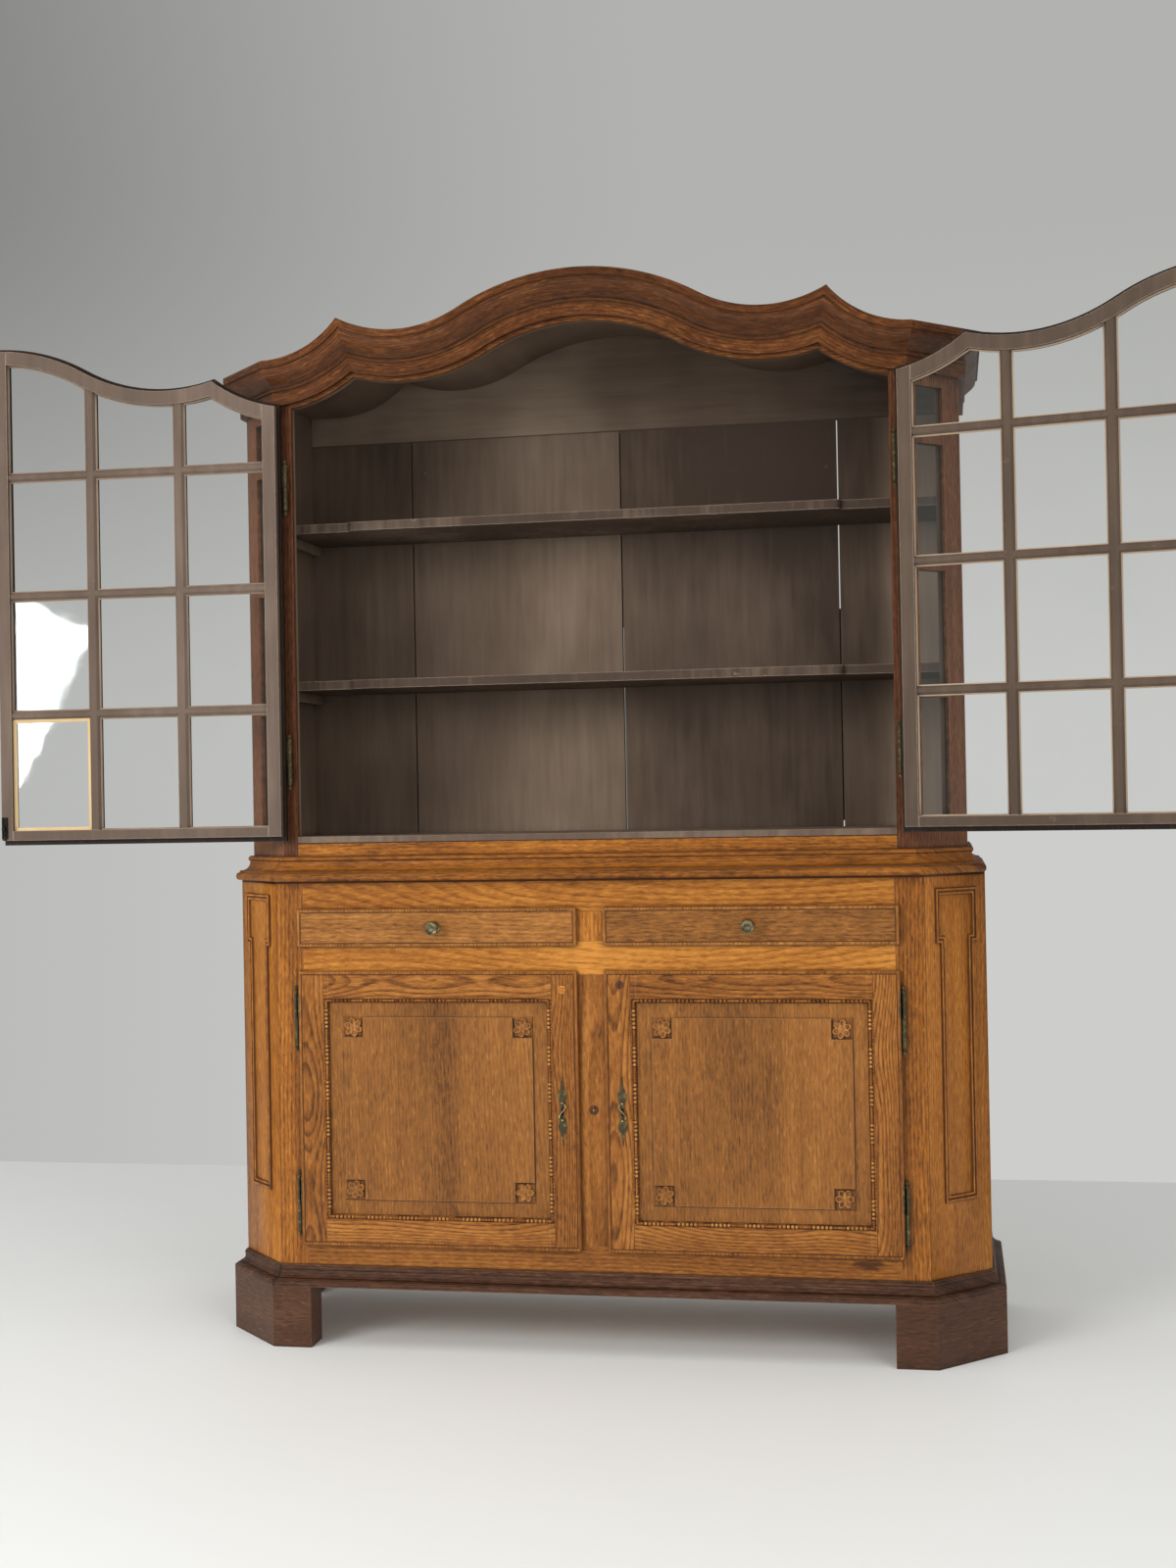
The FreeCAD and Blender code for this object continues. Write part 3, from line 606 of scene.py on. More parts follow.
# Places read from the frame, with the right-hand side as the pattern for the left
postLow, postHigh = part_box("post_right")
sideLow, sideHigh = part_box("upper_side_right")
caseFront = postLow.y
upperHalf = postHigh.x
upperOuter = sideHigh.x
upperTurn = sideLow.y
caseBack = sideHigh.y
mitre = math.tan(math.radians(22.5))
sides = {"right": 1, "left": -1}


# Serpentine cornice: one profile swept round the arch, the cants and the sides
arch = {
    "roofRise": 0.076,
    "crownRadius": 0.388,
    "crownSwing": math.radians(30),
    "dipRadius": 0.350,
    "rampRadius": 0.300,
    "rampPast": 0.019,
    "stepsCrown": 26,
    "stepsDip": 20,
    "stepsRamp": 14,
}


def corniceProfile():
    # Out from the case and up from the arch, in millimetres
    outline = [(0, 8), (11, 8), (12, 9), (12, 33.4), (11.2, 34.2), (11.2, 35)]
    outline += arcPoints((12.4, 38.3), 3.9, -62, 62, 7)
    outline += [(11.6, 42), (11.6, 43.4), (12.6, 44)]
    for i in range(1, 19):
        share = i / 18
        outline.append((12.6 + 13.5 * (1 - math.cos(math.pi * share ** 0.8)), 44 + 33.6 * share))
    outline += [(39.4, 79.4), (41.6, 79.4), (43.2, 80.2), (44, 82)]
    outline += [(44, 92.6), (43.3, 94.3), (41.6, 95), (0, 95)]
    return [(out * mm, up * mm) for out, up in outline]


class Arch:
    def __init__(self, look):
        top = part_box("arched_rail")[1].z - look["roofRise"]
        self.level = postHigh.z - look["roofRise"]
        self.look = look
        self.crown = Vector((0, top - look["crownRadius"]))
        lean = Vector((math.sin(look["crownSwing"]), math.cos(look["crownSwing"])))
        self.dip = self.crown + lean * (look["crownRadius"] + look["dipRadius"])
        self.ramp = Vector((upperHalf + look["rampPast"], self.level + look["rampRadius"]))

    def cusp(self, up):
        near, far = self.look["dipRadius"] - up, self.look["rampRadius"] - up
        way = self.ramp - self.dip
        gap = way.length
        along = (near * near - far * far + gap * gap) / (2 * gap)
        across = math.sqrt(near * near - along * along)
        way = way / gap
        return self.dip + way * along + Vector((way.y, -way.x)) * across

    def onCrown(self, share, up):
        turn = self.look["crownSwing"] * share
        return self.crown + Vector((math.sin(turn), math.cos(turn))) * (self.look["crownRadius"] + up)

    def onDip(self, share, up):
        radius = self.look["dipRadius"] - up
        last = math.asin((self.cusp(up).x - self.dip.x) / radius)
        turn = -self.look["crownSwing"] + (last + self.look["crownSwing"]) * share
        return self.dip + Vector((math.sin(turn), -math.cos(turn))) * radius

    def onRamp(self, share, up, end):
        radius = self.look["rampRadius"] - up
        first = math.asin((self.cusp(up).x - self.ramp.x) / radius)
        last = math.asin((end - self.ramp.x) / radius)
        turn = first + (last - first) * share
        return self.ramp + Vector((math.sin(turn), -math.cos(turn))) * radius


def corniceRings(curve, profile):
    # Right half, from the middle of the crown to the back
    look = curve.look
    stations = [(curve.onCrown, i / look["stepsCrown"]) for i in range(look["stepsCrown"])]
    stations += [(curve.onDip, i / look["stepsDip"]) for i in range(look["stepsDip"])]
    rings = []
    for place, share in stations:
        spots = [place(share, up) for _, up in profile]
        rings.append([(spot.x, caseFront - out, spot.y) for spot, (out, _) in zip(spots, profile)])
    for i in range(look["stepsRamp"]):
        spots = [curve.onRamp(i / look["stepsRamp"], up, upperHalf + mitre * out) for out, up in profile]
        rings.append([(spot.x, caseFront - out, spot.y) for spot, (out, _) in zip(spots, profile)])
    rings.append([(upperHalf + mitre * out, caseFront - out, curve.level + up) for out, up in profile])
    rings.append([(upperOuter + out, upperTurn - mitre * out, curve.level + up) for out, up in profile])
    rings.append([(upperOuter + out, caseBack, curve.level + up) for out, up in profile])
    return rings


def makeCornice(finish):
    right = corniceRings(Arch(arch), corniceProfile())
    left = [[(-x, y, z) for x, y, z in ring] for ring in reversed(right[1:])]
    rings = left + right
    form = Form()
    form.skin(rings)
    along = 0.0
    for ring, last in zip(rings, rings[:1] + rings):
        along += (Vector(ring[-2]) - Vector(last[-2])).length
        form.grain += [(along, 0.0, out + up) for out, up in corniceProfile()]
    addPiece("cornice", form, [finish], "case", 28, ("cornice_front", "cornice_returns"))


# Applied moulding on the lower cants
cantTrim = {
    "profile": [(0, 0), (0, 2.6), (0.8, 4.2), (2.4, 5.2), (4.2, 5.0), (5.4, 3.8), (5.8, 2.2), (7.0, 2.0),
                (8.2, 2.6), (9.6, 4.0), (11.4, 4.2), (12.8, 3.2), (13.6, 1.6), (14, 0)],
    "topMargin": 26.0,
    "lowMargin": 38.0,
    "stepLift": 9.0,
    "rise": 184.0,
    "drop": 28.0,
}


def makeCantTrim(look, finish):
    cantLow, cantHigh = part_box("base_cant_right")
    corner = Vector((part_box("base_stile_right")[1].x, cantLow.y, 0))
    run = Vector((1, 1, 0)).normalized()
    out = Vector((1, -1, 0)).normalized()
    long = (cantHigh.x - corner.x) * math.sqrt(2)
    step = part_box("base_mid_rail")[1].z - look["stepLift"] * mm
    low, high = cantLow.z + look["rise"] * mm, cantHigh.z - look["drop"] * mm
    form = Form()
    for side in sides.values():
        corners = [[] for _ in range(8)]
        for inset, proud in look["profile"]:
            a, b = (look["topMargin"] + inset) * mm, (look["lowMargin"] + inset) * mm
            i = inset * mm
            plan = [(a, high - i), (long - a, high - i), (long - a, step + i), (long - b, step + i),
                    (long - b, low + i), (b, low + i), (b, step + i), (a, step + i)]
            for ring, (u, z) in zip(corners, plan):
                spot = corner + run * u + out * (proud * mm)
                ring.append((side * spot.x, spot.y, z))
        form.skin(corners, loop=True)
        form.grain += [(0.0, 0.0, inset * mm) for _ in corners for inset, _ in look["profile"]]
    addPiece("cantMouldings", form, [finish], "case", 30, ("cant_mouldings",))


def trimShade(f):
    # Painted shade in the quirk of the moulding and at both its edges
    inset = f.split(f.grain())[2]
    quirk = f.band(inset, 0.0052, 0.0080, 0.0006)
    rims = 1 - f.band(inset, 0.0012, 0.0128, 0.0008)
    return quirk * 0.55 + rims * 0.6


# Barrel hinges with ball ends
hinge = {
    "barrel": 4.5,
    "ball": 4.0,
    "tip": 11.0,
    "gap": 0.2,
    "web": 3.0,
    "flange": 2.0,
    "caseFlange": 3.6,
    "doorFlange": 2.4,
    "edgeGap": 6.0,
    "leafIn": 2.5,
    "leafTrim": 4.0,
    "seat": 0.4,
    "lip": 12.4,
    "sides": 28,
}
hingeSets = {
    "upper": {"x": 612.0, "out": 13.0, "high": 92.0, "open": {"right": 169.0, "left": 178.0},
              "fixed": "hinge_pins_upper", "moving": "glazed_hinges_", "body": "glazed_door_"},
    "lower": {"x": 609.0, "out": 7.0, "high": 112.0, "open": {"right": 0.0, "left": 0.0},
              "fixed": "hinge_pins_lower", "moving": "panel_hinges_", "body": "panel_door_"},
}


def barrelProfile(look, half):
    r, ball, tip = look["barrel"], look["ball"], look["tip"]
    profile = [(look["gap"], r * 0.9), (look["gap"] + 0.5, r), (2.6, r), (3.2, r * 0.92), (4.0, r * 0.92)]
    profile += [(half * 0.55, r * 0.95), (half - 5, r * 0.92), (half - 4, r), (half - 1.2, r)]
    profile += [(half - 0.3, r * 0.8), (half + 0.8, r * 0.5), (half + 1.6, r * 0.5)]
    middle = half + tip * 0.55
    profile += [(middle - ball * math.cos(t), max(ball * math.sin(t), 0.9)) for t in
                [math.radians(a) for a in range(20, 150, 14)]]
    return profile + [(half + tip - 1.4, 1.3), (half + tip, 0.7)]


def hingeLevels(group):
    # The node holds two hinges, one above the other
    low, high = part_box(group["moving"] + "right")
    reach = group["high"] * mm / 2 + hinge["tip"] * mm
    return high.z - reach, low.z - hinge["leafTrim"] * mm


def makeHinges(look, groups, finish):
    for label, group in groups.items():
        half = group["high"] / 2
        profile = barrelProfile(look, half)
        levels = hingeLevels(group)
        web, flange, out = look["web"] / 2, look["flange"], group["out"]
        edge, inner, face = -look["edgeGap"], -look["leafIn"], out - look["lip"]
        trim, top = look["leafTrim"], half - look["leafTrim"]
        axis = Vector((group["x"] * mm, caseFront - out * mm, 0))
        fixed = Form()
        for name, side in sides.items():
            turn = Matrix.Rotation(math.radians(group["open"][name]), 3, "Z")
            moving = Form()
            for level in levels:
                def still(spot, mirror=side, z=level):
                    x, y, up = spot
                    return Vector((mirror * (axis.x + x * mm), axis.y + y * mm, z + up * mm))

                def swung(spot, place=still, spin=turn):
                    return place(spin @ Vector(spot))

                moving.lathe(profile, look["sides"], lambda a, b, along: swung((a, b, along)))
                fixed.lathe(profile, look["sides"], lambda a, b, along: still((a, b, -along)))
                moving.block((edge - look["doorFlange"], face - flange, trim), (inner, face, top), swung)
                moving.block((edge + look["seat"], min(face - flange, -web), trim), (inner, web, top), swung)
                fixed.block((-web, 0, -top), (web, out, -trim), still)
                fixed.block((-web, out - flange, -top), (look["caseFlange"] - web, out, -trim), still)
            addPiece(group["moving"].replace("_", "") + name.title(), moving, [finish], group["body"] + name,
                     40, (group["moving"] + name,))
        addPiece("hingePins" + label.title(), fixed, [finish], "case", 40, (group["fixed"],))


# Turned drawer knobs
knobProfile = [(0, 11.2), (0.9, 11.8), (1.9, 11.4), (2.8, 9.8), (4.2, 7.6), (7.0, 6.4), (11.0, 6.0),
               (15.0, 6.8), (18.6, 9.2), (21.4, 12.0), (23.4, 13.4), (25.2, 14.0), (26.8, 13.8),
               (27.8, 13.1), (28.2, 12.1), (27.8, 11.1), (27.2, 9.6), (26.8, 6.4), (27.0, 3.4),
               (27.4, 2.2), (27.6, 0.6)]


def makeKnobs(finish):
    for name in sides:
        low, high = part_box("drawer_knob_" + name)
        middle = (low + high) / 2
        form = Form()
        form.lathe(knobProfile, 44, outFrom(middle.x, high.y, middle.z))
        addPiece("drawerKnob" + name.title(), form, [finish], "drawer_" + name, 50,
                 ("drawer_knob_" + name,))


# Keyhole plates: two slim pointed leaves, a keyhole and a twisted scroll; the keyhole is a black piece, a
# painted shadow in the hole
plateLook = {
    "steps": 48,
    "thick": 2.2,
    "section": [(-1, 0), (-1, 0.4), (-0.55, 0.75), (-0.1, 0.7), (0, 1), (0.1, 0.7), (0.55, 0.75),
                (1, 0.4), (1, 0)],
    "leafAt": 0.46,
    "leafSpread": 0.2,
    "waist": 0.34,
    "leafSwell": 0.72,
    "spread": 1.25,
    "scrollSteps": 40,
    "scrollHigh": 17.0,
    "scrollSwing": 6.6,
    "scrollThick": 2.5,
    "scrollProud": 3.0,
    "curl": [(1.6, 0.8), (2.2, 2.0), (3.4, 2.4), (4.6, 1.8), (5.0, 0.6)],
    "keyRadius": 3.0,
    "keySlot": 1.7,
    "keyDrop": 8.0,
    "keyProud": (1.4, 2.5),
}


def plateRings(look, middle, face, half, wide):
    rings = []
    thick = look["thick"] * mm
    for i in range(look["steps"] + 1):
        s = -1 + 2 * i / look["steps"]
        leaf = math.exp(-((abs(s) - look["leafAt"]) / look["leafSpread"]) ** 2)
        w = wide * max(0.05, (1 - s * s) ** 0.6 * (look["waist"] + look["leafSwell"] * leaf))
        z = middle.z + s * half
        lift = thick * (0.75 + 0.25 * leaf)
        rings.append([(middle.x + a * w, face - b * lift, z) for a, b in look["section"]])
    return rings


def scrollRings(look, middle, face, side):
    # A twist that swings across the keyhole and curls at both ends
    rings = []
    for i in range(look["scrollSteps"] + 1):
        t = -1 + 2 * i / look["scrollSteps"]
        swing = look["scrollSwing"] * mm * math.sin(t * math.pi * 1.1)
        drop = look["scrollHigh"] * mm * math.sin(t * 1.5)
        spot = Vector((middle.x + side * swing, face - look["scrollProud"] * mm, middle.z - drop))
        thick = look["scrollThick"] * mm * (1 - 0.55 * t * t)
        turns = [2 * math.pi * k / 8 for k in range(8)]
        rings.append([spot + Vector((math.cos(a) * thick, math.sin(a) * thick, 0)) for a in turns])
    return rings


def makePlates(look, metals):
    radius, slot, drop = look["keyRadius"], look["keySlot"], look["keyDrop"]
    near, far = look["keyProud"]
    for name, side in sides.items():
        low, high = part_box("escutcheon_" + name)
        middle = (low + high) / 2
        face, half, wide = high.y, (high.z - low.z) / 2, (high.x - low.x) / 2 * look["spread"]
        form = Form()
        form.skin(plateRings(look, middle, face, half, wide))
        form.skin(scrollRings(look, middle, face, side), mark=1)
        for end in (-1, 1):
            level = middle.z + end * look["scrollHigh"] * mm
            form.lathe(look["curl"], 16, outFrom(middle.x, face, level), 1)
        form.lathe([(near, radius), (far, radius)], 20, outFrom(middle.x, face, middle.z + radius * mm), 2)
        form.block((middle.x - slot * mm, face - far * mm, middle.z - drop * mm),
                   (middle.x + slot * mm, face - near * mm, middle.z + radius * mm), mark=2)
        addPiece("keyholePlate" + name.title(), form, metals, "panel_door_" + name, 45,
                 ("escutcheon_" + name,))


# Carved rosettes in the notched corners of the panels
rosette = {
    "petals": 6,
    "petalSides": 18,
    "petalAt": 11.6,
    "petalLong": 7.4,
    "petalWide": 6.3,
    "rim": [(1.0, 0.0), (1.0, 2.8), (0.93, 3.8), (0.8, 4.0), (0.68, 3.4)],
    "cup": [(0.68, 3.4), (0.5, 2.0), (0.25, 1.4), (0.02, 1.4)],
    "boss": [(0, 6.0), (2.6, 6.0), (3.4, 5.4), (3.5, 4.7), (3.0, 4.2), (3.2, 3.6), (4.6, 2.9), (5.2, 1.6),
             (5.4, 0.2)],
    "ground": 10.0,
    "sunk": 9.0,
    "notch": 40.0,
    "margin": 30.0,
}


def petalRings(look, rises, turn, place):
    ahead = Vector((math.cos(turn), math.sin(turn)))
    across = Vector((-ahead.y, ahead.x))
    rings = []
    for share, rise in rises:
        ring = []
        for k in range(look["petalSides"]):
            a = 2 * math.pi * k / look["petalSides"]
            spot = ahead * (look["petalAt"] + look["petalLong"] * share * math.cos(a))
            spot = spot + across * (look["petalWide"] * share * math.sin(a))
            ring.append(place(spot.x, spot.y, rise * (1 + 0.22 * math.cos(a) * share)))
        rings.append(ring)
    return rings


def makeRosettes(look, finishes):
    for name in sides:
        low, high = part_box("panel_" + name)
        ground = high.y - look["sunk"] * mm
        inset = (look["margin"] + look["notch"] / 2) * mm
        count = 0
        for x in (low.x + inset, high.x - inset):
            for z in (low.z + inset, high.z - inset):
                count += 1
                form = Form()
                place = outFrom(x, ground, z)
                for i in range(look["petals"]):
                    turn = 0.35 * count + 2 * math.pi * i / look["petals"]
                    form.skin(petalRings(look, look["rim"], turn, place), caps=False)
                    form.skin(petalRings(look, look["cup"], turn, place), caps=False, mark=1)
                form.lathe(look["boss"], 22, place)
                form.lathe([(0, look["ground"]), (1.3, look["ground"])], 24, place, 1)
                label = "rosette" + name.title() + str(count)
                addPiece(label, form, finishes, "panel_door_" + name, 50)


# Bead and stick carving on the inner arris of the panelled frames
beading = {
    "pitch": 69.0,
    "beads": 5,
    "beadLong": 8.2,
    "beadShare": 0.8,
    "beadRadius": 3.4,
    "stickRadius": 2.2,
    "offFace": 1.0,
    "offOpening": 4.6,
    "hollow": (-1.0, 9.4),
    "sides": 12,
}


def stickRuns(look, long, beadMark):
    # Plain sticks, and between them the beads with their own finish
    groups = max(1, round(long / look["pitch"]))
    pitch = long / groups
    train = look["beads"] * look["beadLong"]
    half = look["beadLong"] * look["beadShare"] / 2
    runs = []
    last = 0.0
    for g in range(groups):
        start = (g + 0.5) * pitch - train / 2
        runs.append(([(last, look["stickRadius"]), (start - 0.6, look["stickRadius"])], 0))
        for b in range(look["beads"]):
            middle = start + (b + 0.5) * look["beadLong"]
            turns = [math.radians(8 + 20.5 * i) for i in range(9)]
            profile = [(middle - half * math.cos(t), look["beadRadius"] * math.sin(t)) for t in turns]
            runs.append((profile, beadMark))
        last = start + train + 0.6
    runs.append(([(last, look["stickRadius"]), (long, look["stickRadius"])], 0))
    return runs


def makeBeading(look, finishes):
    for name in sides:
        low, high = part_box("panel_" + name)
        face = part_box("panel_frame_" + name)[0].y + look["offFace"] * mm
        off = look["offOpening"] * mm
        x0, x1, z0, z1 = low.x - off, high.x + off, low.z - off, high.z + off
        form = Form()
        # The top row takes the darker bead finish as painted shade, the bottom row and the sides the lighter
        # one as painted light
        for z, beadMark in ((z0, 1), (z1, 2)):
            for profile, mark in stickRuns(look, (x1 - x0) / mm, beadMark):
                form.lathe(profile, look["sides"], lambda a, b, along:
                           (x0 + along * mm, face + a * mm, z + b * mm), mark)
        for x in (x0, x1):
            for profile, mark in stickRuns(look, (z1 - z0) / mm, 1):
                form.lathe(profile, look["sides"], lambda a, b, along:
                           (x + b * mm, face + a * mm, z0 + along * mm), mark)
        addPiece("beading" + name.title(), form, finishes, "panel_door_" + name, 55)


# Scratch bead run along the edges of doors and drawers
scratch = {
    "fromEdge": 0.6,
    "profile": [(0, -0.4), (0, 0.6), (0.6, 1.3), (1.9, 1.8), (3.2, 1.8), (4.4, 1.2), (5.0, 0.5), (5.0, -0.4)],
    "groove": (5.4, 7.6),
}


def makeScratchBeads(look, pieces):
    for node, body, finish in pieces:
        low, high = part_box(node)
        edge = look["fromEdge"] * mm
        form = Form()
        rings = []
        for signX, signZ in ((-1, -1), (1, -1), (1, 1), (-1, 1)):
            x = low.x if signX < 0 else high.x
            z = low.z if signZ < 0 else high.z
            rings.append([(x - signX * (edge + a * mm), low.y - b * mm, z - signZ * (edge + a * mm))
                          for a, b in look["profile"]])
        form.skin(rings, loop=True)
        name = "scratchBead" + "".join(word.title() for word in node.split("_"))
        addPiece(name, form, [finish], body, 35)


# Putty round the panes of the glazed doors
glazing = {
    "paintFrom": 0.6,
    "glassBack": 3.0,
    "puttyHigh": 3.0,
    "puttyWide": 2.6,
    "free": 26.5,
    "column": 167.5,
    "upright": 22.0,
    "low": 1052.0,
    "rows": (1290.0, 1536.0, 1782.0),
    "rowHalf": 8.5,
    "topUp": -0.030,
    "freshPane": ("left", 0, 0),
    "freshWide": 6.5,
}


def swingOf(group, name):
    # From a shut door's place, in millimetres from the case front, to its open place
    turn = Matrix.Rotation(math.radians(group["open"][name]), 3, "Z")
    axis = Vector((group["x"], -group["out"], 0))

    def place(x, y, z):
        spot = turn @ (Vector((x, y, z)) - axis) + axis
        return Vector((sides[name] * spot.x * mm, caseFront + spot.y * mm, spot.z * mm))
    return place


def archHeight(curve, x, up):
    # Level of the arch above a place across the front
    look = curve.look
    if x < math.sin(look["crownSwing"]) * (look["crownRadius"] + up):
        return curve.crown.y + math.sqrt((look["crownRadius"] + up) ** 2 - x * x)
    if x < curve.cusp(up).x:
        middle, radius = curve.dip, look["dipRadius"] - up
    else:
        middle, radius = curve.ramp, look["rampRadius"] - up
    return middle.y - math.sqrt(radius ** 2 - (x - middle.x) ** 2)


def puttyRing(look, curve, column, row, wide):
    # Corners of one pane, with the arch followed along the top row
    x0 = look["free"] + column * (look["column"] + look["upright"])
    x1 = x0 + look["column"]
    low = look["low"] if row == 0 else look["rows"][row - 1] + look["rowHalf"]
    if row < len(look["rows"]):
        top = [(x1, look["rows"][row] - look["rowHalf"]), (x0, look["rows"][row] - look["rowHalf"])]
    else:
        spots = [x1 + (x0 - x1) * i / 12 for i in range(13)]
        top = [(x, archHeight(curve, x * mm, look["topUp"]) / mm) for x in spots]
    outer = [(x0, low), (x1, low)] + top
    inner = []
    for x, z in outer:
        nearX = x + wide if x == x0 else x - wide if x == x1 else x
        inner.append((nearX, z + wide if z == low else z - wide))
    return outer, inner


def makePutty(look, finishes, freshFinish):
    curve = Arch(arch)
    for name in sides:
        place = swingOf(hingeSets["upper"], name)
        form = Form()
        for column in range(3):
            for row in range(len(look["rows"]) + 1):
                fresh = (name, column, row) == look["freshPane"]
                wide = look["freshWide"] if fresh else look["puttyWide"]
                outer, inner = puttyRing(look, curve, column, row, wide)
                back, high = look["glassBack"], look["glassBack"] + look["puttyHigh"]
                rings = [[place(a, high, b), place(a, back, b), place(c, back, d), place(c, back + 0.3, d)]
                         for (a, b), (c, d) in zip(outer, inner)]
                form.skin(rings, loop=True, mark=1 if fresh else 0)
        addPiece("putty" + name.title(), form, [finishes[name], freshFinish], "glazed_door_" + name,
                 30)


# Bolt at the foot of the left glazed door
catch = {
    "x": (3.0, 15.0),
    "z": (1036.0, 1080.0),
    "inner": 14.0,
    "thick": 2.0,
    "rail": 2.0,
    "boltHalf": 2.0,
    "boltDrop": 4.0,
    "boltShort": 14.0,
    "knobUp": 20.0,
    "knob": [(0, 2.4), (4, 2.2), (6, 3.4), (8, 3.6), (9.4, 2.4), (9.8, 0.6)],
}


def makeCatch(look, finish):
    place = swingOf(hingeSets["upper"], "left")
    (x0, x1), (z0, z1) = look["x"], look["z"]
    inner, thick, rail, bolt = look["inner"], look["thick"], look["rail"], look["boltHalf"]
    middle = (x0 + x1) / 2
    form = Form()

    def put(spot):
        return place(*spot)

    form.block((x0, inner, z0), (x1, inner + thick * 0.5, z1), put)
    for low, high in ((x0, x0 + rail), (x1 - rail, x1)):
        form.block((low, inner, z0), (high, inner + thick * 1.5, z1), put)
    form.block((middle - bolt, inner, z0 - look["boltDrop"]),
               (middle + bolt, inner + thick * 2, z1 - look["boltShort"]), put)
    form.lathe(look["knob"], 18, lambda a, b, along:
               place(middle + a, inner + thick + along, z0 + look["knobUp"] + b))
    addPiece("doorCatch", form, [finish], "glazed_door_left", 40, bevel=0.0003)


# Turned plugs: a button on the mullion, a pale dowel and a dark peg at the heads of the door stiles
plugs = {
    "mullionPlug": {"node": "door_mullion", "at": (0.5, 481.5), "body": "case", "finish": "dark",
                    "profile": [(0, 9.6), (0.9, 9.2), (1.5, 8.0), (1.4, 6.6), (0.9, 5.8), (0.9, 3.8)]},
    "mullionPin": {"node": "door_mullion", "at": (0.5, 481.5), "body": "case", "finish": "metal",
                   "profile": [(0, 2.6), (1.6, 2.5), (2.6, 1.8), (3.0, 0.5)]},
    "dowelLeft": {"node": "panel_frame_left", "at": (-57.8, 720.3), "body": "panel_door_left",
                  "finish": "pale", "profile": [(0, 8.2), (0.4, 8.0), (0.7, 7.2), (0.8, 0.5)]},
    "pegRight": {"node": "panel_frame_right", "at": (58.3, 729.9), "body": "panel_door_right",
                 "finish": "dark", "profile": [(0, 9.0), (0.3, 8.8), (0.6, 7.8), (0.7, 0.5)]},
}


def makePlugs(pieces, finishes):
    for name, look in pieces.items():
        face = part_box(look["node"])[0].y
        x, z = look["at"]
        form = Form()
        form.lathe(look["profile"], 24, outFrom(x * mm, face, z * mm))
        addPiece(name, form, [finishes[look["finish"]]], look["body"], 40)


# Dark strips in the seams of the back as painted shadow, where no light comes through
seams = {
    "across": {"seamLeft": (-478.0, 1040.0, 1908.0), "seamMiddle": (0.0, 1476.0, 1908.0),
               "seamRight": (478.0, 1040.0, 1500.0)},
    "half": 1.45,
    "setBack": 5.0,
    "thick": 6.0,
}


def makeSeams(look, finish):
    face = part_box("upper_back")[0].y + look["setBack"] * mm
    for name, (x, low, high) in look["across"].items():
        form = Form()
        form.block(((x - look["half"]) * mm, face, low * mm),
                   ((x + look["half"]) * mm, face + look["thick"] * mm, high * mm))
        addPiece(name, form, [finish], "case")


# Grain directions and stains of the joined frames
joint = 0.011


def layOfDoor(name):
    # Each stile and rail of a panelled door is a flat-sawn board of its own
    low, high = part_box("panel_" + name)
    outerLow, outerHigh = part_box("panel_frame_" + name)
    middle, half = (low + high) / 2, (high - low) / 2
    stileAt, railAt = (half.x + (outerHigh - outerLow).x / 2) / 2, (half.z + (outerHigh - outerLow).z / 2) / 2

    def lay(f, look):
        x, y, z = f.split(f.spot())
        aside, above = x - middle.x, z - middle.z
        rails = 1 - f.step(abs(aside), half.x + joint - 0.0003, half.x + joint + 0.0003)
        onStile, onRail = abs(aside) - stileAt, abs(above) - railAt
        along = z + (x - z) * rails
        across = onStile + (onRail - onStile) * rails + (y - middle.y) * look["lean"]
        right, top = f.step(aside, -0.0001, 0.0001), f.step(above, -0.0001, 0.0001)
        straight = (1 - rails) * right + rails * (1 - top)
        return along, across + straight * look["offHeart"], rails * (top + 2) + (1 - rails) * right
    return lay


def grooveOf(node):
    # Painted shade in the groove beside the scratch bead
    def shade(f):
        near, far = scratch["groove"]
        return f.band(f.outside(*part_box(node)), -far * mm, -near * mm) * 0.5
    return shade


def frameShade(name):
    # Painted shade behind the beading and in the groove beside the scratch bead, and dark joint lines
    def shade(f):
        near, far = beading["hollow"]
        low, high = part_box("panel_" + name)
        hollow = f.band(f.outside(low, high), near * mm, far * mm)
        seam = abs(f.split(f.spot())[0] - (low.x + high.x) / 2) - (high.x - low.x) / 2 - joint
        return hollow * 0.35 + f.band(seam, -0.0005, 0.0005) * 0.4 + grooveOf("panel_frame_" + name)(f)
    return shade


backSeam = {"outer": 0.478, "head": 1.912}


def headOfBack(f):
    # 1 on the arched board above the planks
    return f.step(f.split(f.spot())[2], backSeam["head"] - 0.0005, backSeam["head"] + 0.0005)


def planksOfBack(f):
    # Darker past the middle seam, as plank tone and painted shade; painted shade toward the left, high on the
    # right and on the right of the head; painted light low down, on the outermost right plank and at the far
    # right end; a dark joint line under the head
    x, _, z = f.split(f.spot())
    head = headOfBack(f)
    right = f.step(x, -0.0005, 0.0005)
    last = f.step(x, backSeam["outer"] - 0.0005, backSeam["outer"] + 0.0005)
    planks = (1 - f.step(x, -0.56, -0.12)) * 0.26 + right * (0.27 + f.step(x, 0.0, 0.22) * 0.16) - last * 0.14
    planks = planks + right * f.step(z, 1.6, 1.8) * 0.14 - (1 - f.step(z, 1.25, 1.6)) * 0.1
    planks = planks - f.step(x, 0.54, 0.6) * 0.5
    line = f.band(z, backSeam["head"] - 0.0016, backSeam["head"] + 0.0012, 0.0005)
    return planks * (1 - head) + head * (f.step(x, -0.2, 0.2) * 0.5 - 0.2) + line * 0.5


